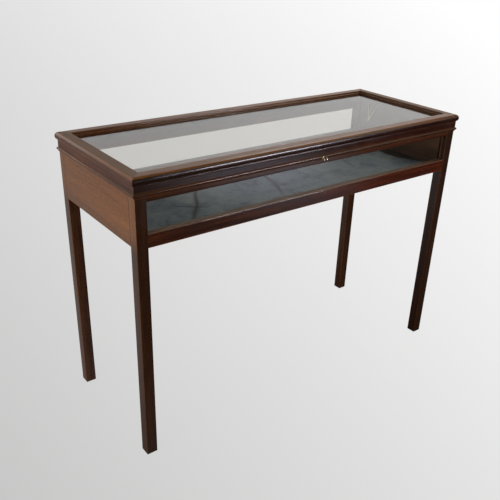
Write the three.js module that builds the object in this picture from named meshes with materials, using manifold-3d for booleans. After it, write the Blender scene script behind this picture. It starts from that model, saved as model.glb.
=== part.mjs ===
// Collectors display table: a mahogany case on four square legs, glazed front and back,
// under a hinged and glazed lid. Millimetres, +Z up, front towards -Y,
// origin on the floor under the middle of the table.
import * as THREE from 'three';
import { mergeVertices } from 'three/addons/utils/BufferGeometryUtils.js';
import Module from 'manifold-3d';

const wasm = await Module();
wasm.setup();

// Overall sizes, taken over the nose of the lid
const overallWidth = 1230;
const overallDepth = 470;
const overallHeight = 860;

// Clearances
const fitGap = 0.3;          // between pieces that seat in each other
const seamGap = 0.3;         // between the closed lid and the case
const mitreGap = 0.3;        // between two mitred ends
const cutOverrun = 5;        // how far a cutting block runs past a face

// Case
const noseOverhang = 7;      // nose of the lid beyond the face of the case
const caseHeight = 151;      // rails and end panels, up to the lid
const legSize = 33;
const legArris = 1.6;        // rounded corners of the legs
const railThickness = 22;
const bottomRailHeight = 39;
const topRailHeight = 27;
const railArris = 2.2;       // rounded edge of the rails at the glass
const panelThickness = 18;
const tenonLength = 14;
const tenonThickness = 7;
const tenonShoulder = 6;     // step between the edge of a rail and its tenon

// Side glazing
const glassRecess = 12;      // from the face of the case back to the pane
const glassThickness = 3;
const glassRebate = 6;       // width of the step that takes the edge of the pane
const beadArris = 2;

// Base
const boardThickness = 8;
const boardRebateWidth = 8;
const liningThickness = 2;

// Lid
const lidHeight = 42;
const lidRailWidth = 38.5;   // from the nose to the sight edge
const neckProud = 1.35;      // neck of the lid beyond the face of the case
const neckHeight = 19;
const noseDrop = 12.5;       // from the top down to the tip of the nose
const noseRun = 11;          // from the tip of the nose to the flat top
const sightStepWidth = 3.5;  // cove in the sight edge
const sightStepDrop = 7;
const lidGlassDrop = 10;     // from the top down to the pane
const lidGlassThickness = 3.8;
const lidRebateWidth = 8.5;
const lidBeadWidth = 7;
const lidBeadHeight = 7.8;

// Astragal round the top of the case
const astragalHeight = 14;   // measured down from the lid
const beadProud = 5.5;
const beadRadius = 4.3;
const beadDrop = 6.2;        // from the lid down to the middle of the bead

// Butt hinges
const hingeInset = 208;      // from the face of the end to the middle of the hinge
const hingeLength = 50;
const hingeLeafWidth = 15;   // from the pin to the edge of the leaf
const hingeLeafThickness = 1.5;
const hingeAxisBehind = 4;   // pin behind the face of the case
const barrelRadius = 3;
const hingePinRadius = 1.35;
const hingePinClearance = 0.1;
const barrelClearance = 0.5;
const knuckleCount = 5;
const hingeScrewPitch = 15;  // from the middle of the hinge
const hingeScrewInset = 8.5; // from the pin to the screws

// Lock and key
const lockHalfWidth = 24;
const lockPlateHalfWidth = 30;
const lockDepth = 11;
const lockHeight = 18.5;
const lockWall = 1.5;
const keyDrop = 10;          // key below the lid
const keyShankRadius = 1.9;
const keyTipRadius = 1.3;
const keyTipLength = 2;
const keyBitReach = 4.6;
const keyBitThickness = 1.6;
const keyBitLength = 6;
const keyShankOut = 9;       // shank outside the case
const keyCollarRadius = 2.9;
const keyCollarLength = 1.6;
const keyBowLength = 14.5;
const keyBowHeight = 16.5;
const keyBowBar = 2.7;
const keyBowThickness = 2.4;
const keyholeClearance = 0.4;
const escutcheonRadius = 5.8;
const boltTravel = 5;
const boltThickness = 2.4;
const boltHeight = 4.8;
const boltTail = 20;
const boltNoseHeight = 2.2;
const boltNoseLength = 5;
const boltClearance = 0.2;
const boltNotchDepth = 2;
const boltNotchHalfWidth = 6.6;
const linkTabPlace = 12;     // near side of the tab of the link plate, from the key
const linkTabThickness = 2;
const linkTabWidth = 6.4;
const linkPlateHalfLength = 22;
const linkPlateWidth = 9;
const linkPlateThickness = 1.5;
const lockScrewInset = 3;

// Folding stay at the right-hand end
const stayCaseInset = 74;    // pivot on the end panel, in front of the back face
const stayCaseDrop = 6;      // and below the lid
const stayLidInset = 127;    // pivot on the lid rail
const stayLidRise = 8;
const stayElbowInset = 81;   // elbow when folded
const stayElbowDrop = 64;
const stayArmThickness = 1.6;
const stayArmHalfWidth = 2.8;
const stayWallGap = 0.6;     // between the upper arm and the lid rail
const stayStudRadius = 1.15;
const stayCollarRadius = 2.2;
const stayHeadRadius = 2.4;
const stayHeadThickness = 0.8;
const stayPlay = 0.15;       // round the stud in its eye
const stayScrewDepth = 11;   // of the threaded end in the wood

// Screws
const screwShankRadius = 1.3;
const screwHeadRadius = 2.6;
const screwHeadHeight = 1.3;
const screwLength = 14;
const smallScrewLength = 8;
const smallScrewScaleShare = 0.75;
const screwPointShare = 0.25;

// Facets of round work
const arcSteps = 4;
const noseSteps = 6;
const roundSteps = 16;
const screwSteps = 10;

// Places worked out from the sizes
const faceX = overallWidth / 2 - noseOverhang;
const faceY = overallDepth / 2 - noseOverhang;
const lidUnderside = overallHeight - lidHeight;
const caseUnderside = lidUnderside - caseHeight;
const caseTop = lidUnderside - seamGap;
const legInnerX = faceX - legSize;
const legInnerY = faceY - legSize;
const railInnerY = faceY - railThickness;
const panelInnerX = faceX - panelThickness;
const bottomRailTop = caseUnderside + bottomRailHeight;
const topRailUnderside = lidUnderside - topRailHeight;
const paneFaceY = faceY - glassRecess;
const boardTop = caseUnderside + boardThickness + fitGap;
const lidRebateInset = lidRailWidth - lidRebateWidth;
const lidGlassTop = overallHeight - lidGlassDrop;

// Colours, as the photograph shows them
const finishes = {
  mahogany: { color: 0x4a2a1a, roughness: 0.32, metalness: 0 },
  panelMahogany: { color: 0x7a5540, roughness: 0.38, metalness: 0 },
  pine: { color: 0x8a6a48, roughness: 0.8, metalness: 0 },
  glass: { color: 0xd8dedc, roughness: 0.03, metalness: 0, transparent: true, opacity: 0.3 },
  brass: { color: 0xa8884e, roughness: 0.35, metalness: 1 },
  steel: { color: 0x8f8b84, roughness: 0.4, metalness: 1 },
  baize: { color: 0x56605c, roughness: 0.95, metalness: 0 },
};

const table = new THREE.Group();
const caseGroup = new THREE.Group();
const lidGroup = new THREE.Group();
const lockGroup = new THREE.Group();
const stayGroup = new THREE.Group();
table.add(caseGroup, lidGroup, lockGroup, stayGroup);

function addPiece(name, geometry, finish, parent) {
  const mesh = new THREE.Mesh(geometry, new THREE.MeshStandardMaterial(finishes[finish]));
  mesh.name = name;
  parent.add(mesh);
  return mesh;
}

// Closed mesh to solid and back, for cuts and joins
function solid(geometry) {
  const bare = geometry.clone();
  bare.deleteAttribute('normal');
  bare.deleteAttribute('uv');
  const merged = mergeVertices(bare);
  return new wasm.Manifold(new wasm.Mesh({
    numProp: 3,
    vertProperties: new Float32Array(merged.attributes.position.array),
    triVerts: new Uint32Array(merged.index.array),
  }));
}

function geometryOf(body) {
  const mesh = body.getMesh();
  const geometry = new THREE.BufferGeometry();
  geometry.setAttribute('position', new THREE.BufferAttribute(new Float32Array(mesh.vertProperties), 3));
  geometry.setIndex(new THREE.BufferAttribute(new Uint32Array(mesh.triVerts), 1));
  geometry.computeVertexNormals();
  return geometry;
}

function join(...geometries) {
  return geometryOf(geometries.map(solid).reduce((whole, next) => whole.add(next)));
}

function cut(geometry, ...tools) {
  return geometryOf(tools.map(solid).reduce((whole, next) => whole.subtract(next), solid(geometry)));
}

// Box between two corners
function block([x0, y0, z0], [x1, y1, z1]) {
  const box = new THREE.BoxGeometry(x1 - x0, y1 - y0, z1 - z0);
  return box.translate((x0 + x1) / 2, (y0 + y1) / 2, (z0 + z1) / 2);
}

const point = (u, v) => new THREE.Vector2(u, v);

// Points of an elliptical arc about (u, v), angles in quarter turns
function arc(u, v, radiusU, radiusV, from, to, steps) {
  return Array.from({ length: steps + 1 }, (_, i) => {
    const angle = (from + ((to - from) * i) / steps) * Math.PI / 2;
    return point(u + radiusU * Math.cos(angle), v + radiusV * Math.sin(angle));
  });
}

// Outline in the (Y, Z) plane carried along X
function prismX(points, x0, x1) {
  const prism = new THREE.ExtrudeGeometry(new THREE.Shape(points), { depth: x1 - x0, bevelEnabled: false });
  return prism.applyMatrix4(new THREE.Matrix4().set(0, 0, 1, x0, 1, 0, 0, 0, 0, 1, 0, 0, 0, 0, 0, 1));
}

// Outline in the (X, Y) plane carried up Z
function prismZ(points, z0, z1) {
  const prism = new THREE.ExtrudeGeometry(new THREE.Shape(points), { depth: z1 - z0, bevelEnabled: false });
  return prism.translate(0, 0, z0);
}

function rodX(radius, x0, x1, y, z) {
  const rod = new THREE.CylinderGeometry(radius, radius, x1 - x0, roundSteps);
  return rod.rotateZ(Math.PI / 2).translate((x0 + x1) / 2, y, z);
}

function rodY(radius, y0, y1, x, z) {
  const rod = new THREE.CylinderGeometry(radius, radius, y1 - y0, roundSteps);
  return rod.translate(x, (y0 + y1) / 2, 0).translate(0, 0, z);
}

// Countersunk screw: flat of the head at the origin, point towards +Z
function screw(length, scale, growth = 0) {
  const shank = screwShankRadius * scale + growth;
  const head = screwHeadRadius * scale + growth;
  const headHeight = screwHeadHeight * scale;
  const pointStart = length * (1 - screwPointShare);
  const profile = [
    point(0, -growth), point(head, -growth), point(head, 0), point(shank, headHeight),
    point(shank, pointStart), point(0, length + growth),
  ];
  return new THREE.LatheGeometry(profile, screwSteps).rotateX(Math.PI / 2);
}

// Holes for screws whose heads lie at the given places, turned about X
function screwHoles(places, length, scale, turn, growth) {
  return places.map(([x, y, z]) => screw(length, scale, growth).rotateX(turn).translate(x, y, z));
}

function addScrews(names, places, length, scale, turn, parent) {
  names.forEach((name, i) => {
    addPiece(name, screw(length, scale).rotateX(turn), 'brass', parent).position.set(...places[i]);
  });
}

const pointUp = 0;
const pointDown = Math.PI;
const pointFront = Math.PI / 2;
const fullScale = 1;

// Hole in a wall for the threaded end of a stay screw
const stayBore = (pivot, wall) => rodX(
  stayStudRadius + fitGap, wall - cutOverrun, wall + stayScrewDepth + fitGap, pivot.x, pivot.y,
);

// Moulding with a mitre at each end, seen as the front one of four.
// The outline gives (distance beyond the base line, height).
function mitredLength(points, halfLength, base) {
  const moulding = new THREE.ExtrudeGeometry(new THREE.Shape(points), { depth: 1, bevelEnabled: false });
  const places = moulding.attributes.position;
  const endGap = mitreGap / Math.SQRT2;
  for (let i = 0; i < places.count; i += 1) {
    const beyond = places.getX(i);
    const side = places.getZ(i) > 0 ? -1 : 1;
    places.setXYZ(i, side * (halfLength + beyond - endGap), -(base + beyond), places.getY(i));
  }
  moulding.computeVertexNormals();
  return moulding;
}

const sides = {
  front: { turn: 0, half: faceX, base: faceY },
  right: { turn: Math.PI / 2, half: faceY, base: faceX },
  back: { turn: Math.PI, half: faceX, base: faceY },
  left: { turn: -Math.PI / 2, half: faceY, base: faceX },
};

// Legs
const paneRebateTop = topRailUnderside + glassRebate;
const paneRebateBottom = bottomRailTop - glassRebate;

// Tenons of a rail: [lower edge, upper edge] of the tenon
const bottomTenon = [caseUnderside + boardThickness + tenonShoulder / 2, paneRebateBottom - tenonShoulder / 2];
const topTenon = [paneRebateTop + tenonShoulder / 2, caseTop - tenonShoulder];
const panelTenon = [caseUnderside + boardThickness + tenonShoulder, caseTop - tenonShoulder];
const railTenonY = faceY - railThickness / 2;
const panelTenonX = faceX - panelThickness / 2;

function legGeometry() {
  const corners = [[1, 1], [-1, 1], [-1, -1], [1, -1]];
  const outline = corners.flatMap(([sideX, sideY], quarter) => {
    const centreX = legInnerX + legSize / 2 + sideX * (legSize / 2 - legArris);
    const centreY = legInnerY + legSize / 2 + sideY * (legSize / 2 - legArris);
    return arc(centreX, centreY, legArris, legArris, quarter, quarter + 1, arcSteps / 2);
  });
  const mortise = (z0, z1) => block(
    [legInnerX - cutOverrun, railTenonY - tenonThickness / 2 - fitGap, z0 - fitGap],
    [legInnerX + tenonLength + fitGap, railTenonY + tenonThickness / 2 + fitGap, z1 + fitGap],
  );
  const panelMortise = block(
    [panelTenonX - tenonThickness / 2 - fitGap, legInnerY - cutOverrun, panelTenon[0] - fitGap],
    [panelTenonX + tenonThickness / 2 + fitGap, legInnerY + tenonLength + fitGap, panelTenon[1] + fitGap],
  );
  const paneRebate = block(
    [legInnerX - cutOverrun, legInnerY - cutOverrun, paneRebateBottom],
    [legInnerX + glassRebate, paneFaceY, paneRebateTop],
  );
  return cut(prismZ(outline, 0, caseTop), mortise(...bottomTenon), mortise(...topTenon), panelMortise, paneRebate);
}

// The leg is made for the back right corner; the others are turned or mirrored copies
function mirrored(geometry, sideX, sideY) {
  const copy = geometry.clone().scale(sideX, sideY, 1);
  if (sideX * sideY < 0) {
    const order = copy.index.array;
    for (let i = 0; i < order.length; i += 3) [order[i], order[i + 1]] = [order[i + 1], order[i]];
  }
  copy.computeVertexNormals();
  return copy;
}

const leg = legGeometry();
for (const [depthName, sideY] of [['front', -1], ['back', 1]]) {
  for (const [sideName, sideX] of [['left', -1], ['right', 1]]) {
    addPiece(`leg_${depthName}_${sideName}`, mirrored(leg, sideX, sideY), 'mahogany', caseGroup);
  }
}

// Hinge screws, as places of their heads
const hingeAxisY = faceY + hingeAxisBehind;
const hingeAxisZ = lidUnderside - seamGap / 2;
const hingeX = [-faceX + hingeInset, faceX - hingeInset];
const leafOffset = seamGap;  // from the plane of the pin to the face of each leaf
const hingeScrewPlaces = (z) => hingeX.flatMap((x) => [-1, 1].map(
  (side) => [x + side * hingeScrewPitch, hingeAxisY - hingeScrewInset, z],
));
const caseHingeScrews = hingeScrewPlaces(hingeAxisZ - leafOffset);
const lidHingeScrews = hingeScrewPlaces(hingeAxisZ + leafOffset);

// Rails, made as the back ones; the front ones are mirrored
const railTenons = ([z0, z1]) => [-1, 1].map((side) => {
  const ends = [side * (legInnerX - cutOverrun), side * (legInnerX + tenonLength)].sort((a, b) => a - b);
  return block(
    [ends[0], railTenonY - tenonThickness / 2, z0],
    [ends[1], railTenonY + tenonThickness / 2, z1],
  );
});

const bottomRailOutline = [
  point(faceY, caseUnderside),
  ...arc(faceY - railArris, bottomRailTop - railArris, railArris, railArris, 0, 1, arcSteps),
  point(paneFaceY, bottomRailTop), point(paneFaceY, paneRebateBottom),
  point(railInnerY, paneRebateBottom), point(railInnerY, boardTop),
  point(railInnerY + boardRebateWidth, boardTop), point(railInnerY + boardRebateWidth, caseUnderside),
];
const topRailOutline = [
  ...arc(faceY - railArris, topRailUnderside + railArris, railArris, railArris, -1, 0, arcSteps),
  point(faceY, caseTop), point(railInnerY, caseTop),
  point(railInnerY, paneRebateTop), point(paneFaceY, paneRebateTop), point(paneFaceY, topRailUnderside),
];
const bottomRail = join(prismX(bottomRailOutline, -legInnerX, legInnerX), ...railTenons(bottomTenon));
const topRail = join(prismX(topRailOutline, -legInnerX, legInnerX), ...railTenons(topTenon));
addPiece('bottom_rail_front', mirrored(bottomRail, 1, -1), 'mahogany', caseGroup);
addPiece('bottom_rail_back', bottomRail, 'mahogany', caseGroup);

// Hinge recesses in the back top rail
const leafRecess = (x, z0, z1) => block(
  [x - hingeLength / 2 - fitGap, hingeAxisY - hingeLeafWidth - fitGap, z0],
  [x + hingeLength / 2 + fitGap, hingeAxisY + barrelRadius + cutOverrun, z1],
);
const caseLeafFloor = hingeAxisZ - leafOffset - hingeLeafThickness - fitGap;
const lidLeafCeiling = hingeAxisZ + leafOffset + hingeLeafThickness + fitGap;
addPiece('top_rail_back', cut(
  topRail,
  ...hingeX.map((x) => leafRecess(x, caseLeafFloor, caseTop + cutOverrun)),
  ...screwHoles(caseHingeScrews, screwLength, fullScale, pointDown, fitGap),
), 'mahogany', caseGroup);

// Lock recess and keyhole in the front top rail
const keyZ = lidUnderside - keyDrop;
const lockTop = caseTop;
const lockBottom = lockTop - lockHeight;
const lockBackY = -railInnerY;
const lockFrontY = lockBackY - lockDepth;
const lockScrewX = lockPlateHalfWidth - lockScrewInset;
const lockScrewPlaces = [-1, 1].map((side) => [side * lockScrewX, lockBackY, keyZ]);
const keyhole = (y0, y1) => [
  rodY(keyShankRadius + keyholeClearance, y0, y1, 0, keyZ),
  block(
    [-keyBitThickness / 2 - keyholeClearance, y0, keyZ - keyBitReach - keyholeClearance],
    [keyBitThickness / 2 + keyholeClearance, y1, keyZ],
  ),
];
addPiece('top_rail_front', cut(
  mirrored(topRail, 1, -1),
  block(
    [-lockHalfWidth - fitGap, lockFrontY - fitGap, lockBottom - fitGap],
    [lockHalfWidth + fitGap, lockBackY + cutOverrun, lockTop + cutOverrun],
  ),
  block(
    [-lockPlateHalfWidth - fitGap, lockBackY - lockWall - fitGap, lockBottom - fitGap],
    [lockPlateHalfWidth + fitGap, lockBackY + cutOverrun, lockTop + cutOverrun],
  ),
  ...keyhole(-faceY - cutOverrun, lockFrontY + lockWall),
  ...screwHoles(lockScrewPlaces, smallScrewLength, smallScrewScaleShare, pointFront, fitGap),
), 'mahogany', caseGroup);

// End panels, made as the right one
function panelGeometry() {
  const board = block([panelInnerX, -legInnerY, caseUnderside], [faceX, legInnerY, caseTop]);
  const tenons = [-1, 1].map((side) => {
    const ends = [side * (legInnerY - cutOverrun), side * (legInnerY + tenonLength)].sort((a, b) => a - b);
    return block(
      [panelTenonX - tenonThickness / 2, ends[0], panelTenon[0]],
      [panelTenonX + tenonThickness / 2, ends[1], panelTenon[1]],
    );
  });
  const rebate = block(
    [panelInnerX - cutOverrun, -faceY, caseUnderside - cutOverrun],
    [panelInnerX + boardRebateWidth, faceY, boardTop],
  );
  return cut(join(board, ...tenons), rebate);
}
const endPanel = panelGeometry();
const stayCase = point(faceY - stayCaseInset, lidUnderside - stayCaseDrop);
addPiece('end_panel_right', cut(endPanel, stayBore(stayCase, panelInnerX)), 'panelMahogany', caseGroup);
addPiece('end_panel_left', mirrored(endPanel, -1, 1), 'panelMahogany', caseGroup);

// Base board, notched round the legs, and the lining laid on it
function notchedOutline(halfX, halfY, notchX, notchY) {
  const quarters = [[1, -1], [1, 1], [-1, 1], [-1, -1]];
  return quarters.flatMap(([sideX, sideY]) => {
    const along = [point(sideX * notchX, sideY * halfY), point(sideX * notchX, sideY * notchY),
      point(sideX * halfX, sideY * notchY)];
    return sideX * sideY < 0 ? along : along.reverse();
  });
}
const boardHalfX = panelInnerX + boardRebateWidth - fitGap;
const boardHalfY = railInnerY + boardRebateWidth - fitGap;
const boardOutline = notchedOutline(boardHalfX, boardHalfY, legInnerX - fitGap, legInnerY - fitGap);
const boardFace = boardTop - fitGap;
addPiece('base_board', prismZ(boardOutline, boardFace - boardThickness, boardFace), 'pine', caseGroup);

// The loose lining stops short of the right-hand end and its edge slants
const liningRearShare = 0.885;   // reach of the right edge at the back, of half the inside
const liningMiddleShare = 0.9;
const liningFrontShare = 0.965;
const liningBendShares = [-0.66, -0.34];
const insideX = panelInnerX - fitGap;
const insideY = railInnerY - fitGap;
const liningOutline = [
  point(-legInnerX + fitGap, -insideY), point(insideX * liningFrontShare, -insideY),
  point(insideX * liningFrontShare, insideY * liningBendShares[0]),
  point(insideX * liningMiddleShare, insideY * liningBendShares[1]),
  point(insideX * liningRearShare, insideY), point(-legInnerX + fitGap, insideY),
  point(-legInnerX + fitGap, legInnerY - fitGap), point(-insideX, legInnerY - fitGap),
  point(-insideX, -legInnerY + fitGap), point(-legInnerX + fitGap, -legInnerY + fitGap),
];
addPiece('lining', prismZ(liningOutline, boardFace, boardFace + liningThickness), 'baize', caseGroup);

// Side panes and the beads that hold them from inside, made as the back ones
const paneHalfX = legInnerX + glassRebate - fitGap;
const paneInnerY = paneFaceY - fitGap - glassThickness;
const pane = block(
  [-paneHalfX, paneInnerY, paneRebateBottom + fitGap],
  [paneHalfX, paneFaceY - fitGap, paneRebateTop - fitGap],
);
const beadOuterY = paneInnerY - fitGap;
const beadTopOutline = [
  point(railInnerY, paneRebateTop - fitGap), point(railInnerY, topRailUnderside + beadArris),
  ...arc(railInnerY + beadArris, topRailUnderside + beadArris, beadArris, beadArris, 2, 3, arcSteps / 2).slice(1),
  point(beadOuterY, topRailUnderside), point(beadOuterY, paneRebateTop - fitGap),
];
const beadBottomOutline = [
  point(beadOuterY, paneRebateBottom + fitGap), point(beadOuterY, bottomRailTop),
  ...arc(railInnerY + beadArris, bottomRailTop - beadArris, beadArris, beadArris, 1, 2, arcSteps / 2),
  point(railInnerY, paneRebateBottom + fitGap),
];
const beadTop = prismX(beadTopOutline, -paneHalfX, paneHalfX);
const beadBottom = prismX(beadBottomOutline, -paneHalfX, paneHalfX);
const beadSideOutline = [
  point(legInnerX, railInnerY + beadArris),
  ...arc(legInnerX + beadArris, railInnerY + beadArris, beadArris, beadArris, 2, 3, arcSteps / 2).slice(1),
  point(paneHalfX, railInnerY), point(paneHalfX, beadOuterY), point(legInnerX, beadOuterY),
];
const beadSide = prismZ(beadSideOutline, bottomRailTop + fitGap, topRailUnderside - fitGap);
for (const [depthName, sideY] of [['front', -1], ['back', 1]]) {
  addPiece(`glass_${depthName}`, mirrored(pane, 1, sideY), 'glass', caseGroup);
  addPiece(`glass_bead_${depthName}_top`, mirrored(solidGeometry(beadTop), 1, sideY), 'mahogany', caseGroup);
  addPiece(`glass_bead_${depthName}_bottom`, mirrored(solidGeometry(beadBottom), 1, sideY), 'mahogany', caseGroup);
  for (const [sideName, sideX] of [['left', -1], ['right', 1]]) {
    const bead = mirrored(solidGeometry(beadSide), sideX, sideY);
    addPiece(`glass_bead_${depthName}_${sideName}`, bead, 'mahogany', caseGroup);
  }
}

// Mesh with shared corners, so that it can be mirrored
function solidGeometry(geometry) {
  return geometryOf(solid(geometry));
}

// Astragal: a half-round bead between two fillets, mitred round the case
const astragalBottom = lidUnderside - astragalHeight;
const beadCentre = lidUnderside - beadDrop;
const astragalOutline = [
  point(0, astragalBottom), point(neckProud, astragalBottom),
  ...arc(neckProud, beadCentre, beadProud - neckProud, beadRadius, -1, 1, noseSteps * 2),
  point(neckProud, caseTop), point(0, caseTop),
];
const barrelNotch = (x, y0, z0, z1) => block(
  [x - hingeLength / 2 - barrelClearance, y0, z0],
  [x + hingeLength / 2 + barrelClearance, hingeAxisY + barrelRadius + cutOverrun, z1],
);
for (const [sideName, { turn, half, base }] of Object.entries(sides)) {
  let moulding = mitredLength(astragalOutline, half, base).rotateZ(turn);
  if (sideName === 'front') {
    const y0 = -faceY - beadProud - cutOverrun;
    moulding = cut(moulding, rodY(escutcheonRadius + fitGap, y0, -faceY + cutOverrun, 0, keyZ));
  }
  if (sideName === 'back') {
    const floor = hingeAxisZ - barrelRadius - barrelClearance;
    moulding = cut(moulding, ...hingeX.map((x) => barrelNotch(x, faceY - cutOverrun, floor, caseTop + cutOverrun)));
  }
  addPiece(`astragal_${sideName}`, moulding, 'mahogany', caseGroup);
}

// Lid rails. The outline gives (distance in from the face of the case, height) with the
// nose outside it: neck, nose, flat top, coved sight edge and rebate for the pane.
const noseTip = overallHeight - noseDrop;
const neckTop = lidUnderside + neckHeight;
const sightEdge = noseOverhang - lidRailWidth;
const sightArris = sightEdge + sightStepWidth;
const sightStep = overallHeight - sightStepDrop;
const rebateEdge = noseOverhang - lidRebateInset;
const lidOutline = [
  point(neckProud, lidUnderside),
  ...arc(neckProud, noseTip, noseOverhang - neckProud, noseTip - neckTop, -1, 0, noseSteps),
  ...arc(noseOverhang - noseRun, noseTip, noseRun, noseDrop, 0, 1, noseSteps).slice(1),
  point(sightArris, overallHeight),
  ...arc(sightEdge, sightStep + sightStepWidth, sightStepWidth, sightStepWidth, 0, -1, arcSteps),
  point(sightEdge, lidGlassTop), point(rebateEdge, lidGlassTop), point(rebateEdge, lidUnderside),
];
const linkY = (lockFrontY + lockBackY - lockWall) / 2;
const lidInnerX = overallWidth / 2 - lidRebateInset;
const stayLid = point(faceY - stayLidInset, lidUnderside + stayLidRise);
for (const [sideName, { turn, half, base }] of Object.entries(sides)) {
  let rail = mitredLength(lidOutline, half, base).rotateZ(turn);
  if (sideName === 'right') rail = cut(rail, stayBore(stayLid, lidInnerX));
  if (sideName === 'front') {
    rail = cut(rail, block(
      [-linkPlateHalfLength - fitGap, linkY - linkPlateWidth / 2 - fitGap, lidUnderside - cutOverrun],
      [linkPlateHalfLength + fitGap, linkY + linkPlateWidth / 2 + fitGap,
        lidUnderside + linkPlateThickness + fitGap],
    ));
  }
  if (sideName === 'back') {
    const barrelFace = hingeAxisY - barrelRadius - barrelClearance;
    const ceiling = hingeAxisZ + barrelRadius + barrelClearance;
    rail = cut(
      rail,
      ...hingeX.map((x) => leafRecess(x, lidUnderside - cutOverrun, lidLeafCeiling)),
      ...hingeX.map((x) => barrelNotch(x, barrelFace, lidUnderside - cutOverrun, ceiling)),
      ...screwHoles(lidHingeScrews, screwLength, fullScale, pointUp, fitGap),
    );
  }
  addPiece(`lid_rail_${sideName}`, rail, 'mahogany', lidGroup);
}

// Lid pane and the beads under it
const lidPaneX = overallWidth / 2 - lidRebateInset - fitGap;
const lidPaneY = overallDepth / 2 - lidRebateInset - fitGap;
const lidPaneTop = lidGlassTop - fitGap;
const lidPaneBottom = lidPaneTop - lidGlassThickness;
addPiece('lid_glass', block(
  [-lidPaneX, -lidPaneY, lidPaneBottom],
  [lidPaneX, lidPaneY, lidPaneTop],
), 'glass', lidGroup);
const lidBeadTop = lidPaneBottom - fitGap;
const lidBeadOuter = rebateEdge - fitGap;
const lidBeadOutline = [
  point(lidBeadOuter, lidBeadTop - lidBeadHeight), point(lidBeadOuter, lidBeadTop),
  point(lidBeadOuter - lidBeadWidth, lidBeadTop),
  ...arc(lidBeadOuter - lidBeadWidth + beadArris, lidBeadTop - lidBeadHeight + beadArris,
    beadArris, beadArris, 2, 3, arcSteps / 2),
];
for (const [sideName, { turn, half, base }] of Object.entries(sides)) {
  addPiece(`lid_bead_${sideName}`, mitredLength(lidBeadOutline, half, base).rotateZ(turn), 'mahogany', lidGroup);
}

// Butt hinges. Each leaf is made with the pin on the X axis and the leaf towards -Y;
// level is -1 for the leaf on the case and 1 for the leaf on the lid.
function hingeLeaf(level) {
  const pitch = hingeLength / knuckleCount;
  const faces = [level * leafOffset, level * (leafOffset + hingeLeafThickness)].sort((a, b) => a - b);
  const pieces = [block(
    [-hingeLength / 2, -hingeLeafWidth, faces[0]],
    [hingeLength / 2, -barrelRadius - barrelClearance, faces[1]],
  )];
  for (let i = 0; i < knuckleCount; i += 1) {
    const own = (i % 2 === 0) === (level < 0);
    if (own) {
      const x0 = -hingeLength / 2 + i * pitch + fitGap / 2;
      const x1 = x0 + pitch - fitGap;
      pieces.push(rodX(barrelRadius, x0, x1, 0, 0));
      pieces.push(block([x0, -barrelRadius - 2 * barrelClearance, faces[0]], [x1, 0, faces[1]]));
    }
  }
  const bore = rodX(hingePinRadius + hingePinClearance, -hingeLength, hingeLength, 0, 0);
  const turn = level < 0 ? pointDown : pointUp;
  const holes = [-1, 1].map((side) => screw(screwLength, fullScale, fitGap / 2)
    .rotateX(turn).translate(side * hingeScrewPitch, -hingeScrewInset, level * leafOffset));
  return cut(join(...pieces), bore, ...holes);
}
const caseLeaf = hingeLeaf(-1);
const lidLeaf = hingeLeaf(1);
hingeX.forEach((x, i) => {
  const sideName = ['left', 'right'][i];
  const pieces = [
    addPiece(`hinge_case_leaf_${sideName}`, caseLeaf.clone(), 'brass', caseGroup),
    addPiece(`hinge_lid_leaf_${sideName}`, lidLeaf.clone(), 'brass', lidGroup),
    addPiece(`hinge_pin_${sideName}`, rodX(hingePinRadius, -hingeLength / 2, hingeLength / 2, 0, 0), 'brass', caseGroup),
  ];
  for (const piece of pieces) piece.position.set(x, hingeAxisY, hingeAxisZ);
});
const hingeScrewNames = (leafName) => ['left', 'right'].flatMap((sideName) => [1, 2].map(
  (number) => `hinge_screw_${leafName}_${sideName}_${number}`,
));
addScrews(hingeScrewNames('case'), caseHingeScrews, screwLength, fullScale, pointDown, caseGroup);
addScrews(hingeScrewNames('lid'), lidHingeScrews, screwLength, fullScale, pointUp, lidGroup);

// Lock case: a brass tray let into the rail from inside, open towards the wood
const linkTabX = [linkTabPlace, linkTabPlace + linkTabThickness];
const linkTabY = [linkY - linkTabWidth / 2, linkY + linkTabWidth / 2];
addPiece('lock_case', cut(
  join(
    block([-lockHalfWidth, lockFrontY, lockBottom], [lockHalfWidth, lockBackY, lockTop]),
    block([-lockPlateHalfWidth, lockBackY - lockWall, lockBottom], [lockPlateHalfWidth, lockBackY, lockTop]),
  ),
  block(
    [-lockHalfWidth + lockWall, lockFrontY - cutOverrun, lockBottom + lockWall],
    [lockHalfWidth - lockWall, lockBackY - lockWall, lockTop - lockWall],
  ),
  block(
    [linkTabX[0] - keyholeClearance, linkTabY[0] - keyholeClearance, lockTop - 2 * lockWall],
    [linkTabX[1] + keyholeClearance, linkTabY[1] + keyholeClearance, lockTop + cutOverrun],
  ),
  rodY(keyTipRadius + fitGap, lockBackY - 2 * lockWall, lockBackY + cutOverrun, 0, keyZ),
  ...screwHoles(lockScrewPlaces, smallScrewLength, smallScrewScaleShare, pointFront, fitGap / 2),
), 'brass', lockGroup);
const lockScrewNames = ['lock_screw_left', 'lock_screw_right'];
addScrews(lockScrewNames, lockScrewPlaces, smallScrewLength, smallScrewScaleShare, pointFront, lockGroup);

// Round escutcheon let into the astragal
addPiece('escutcheon', cut(
  rodY(escutcheonRadius, -faceY - beadProud - fitGap, -faceY - fitGap, 0, keyZ),
  ...keyhole(-faceY - beadProud - cutOverrun, -faceY + cutOverrun),
), 'brass', lockGroup);

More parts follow.
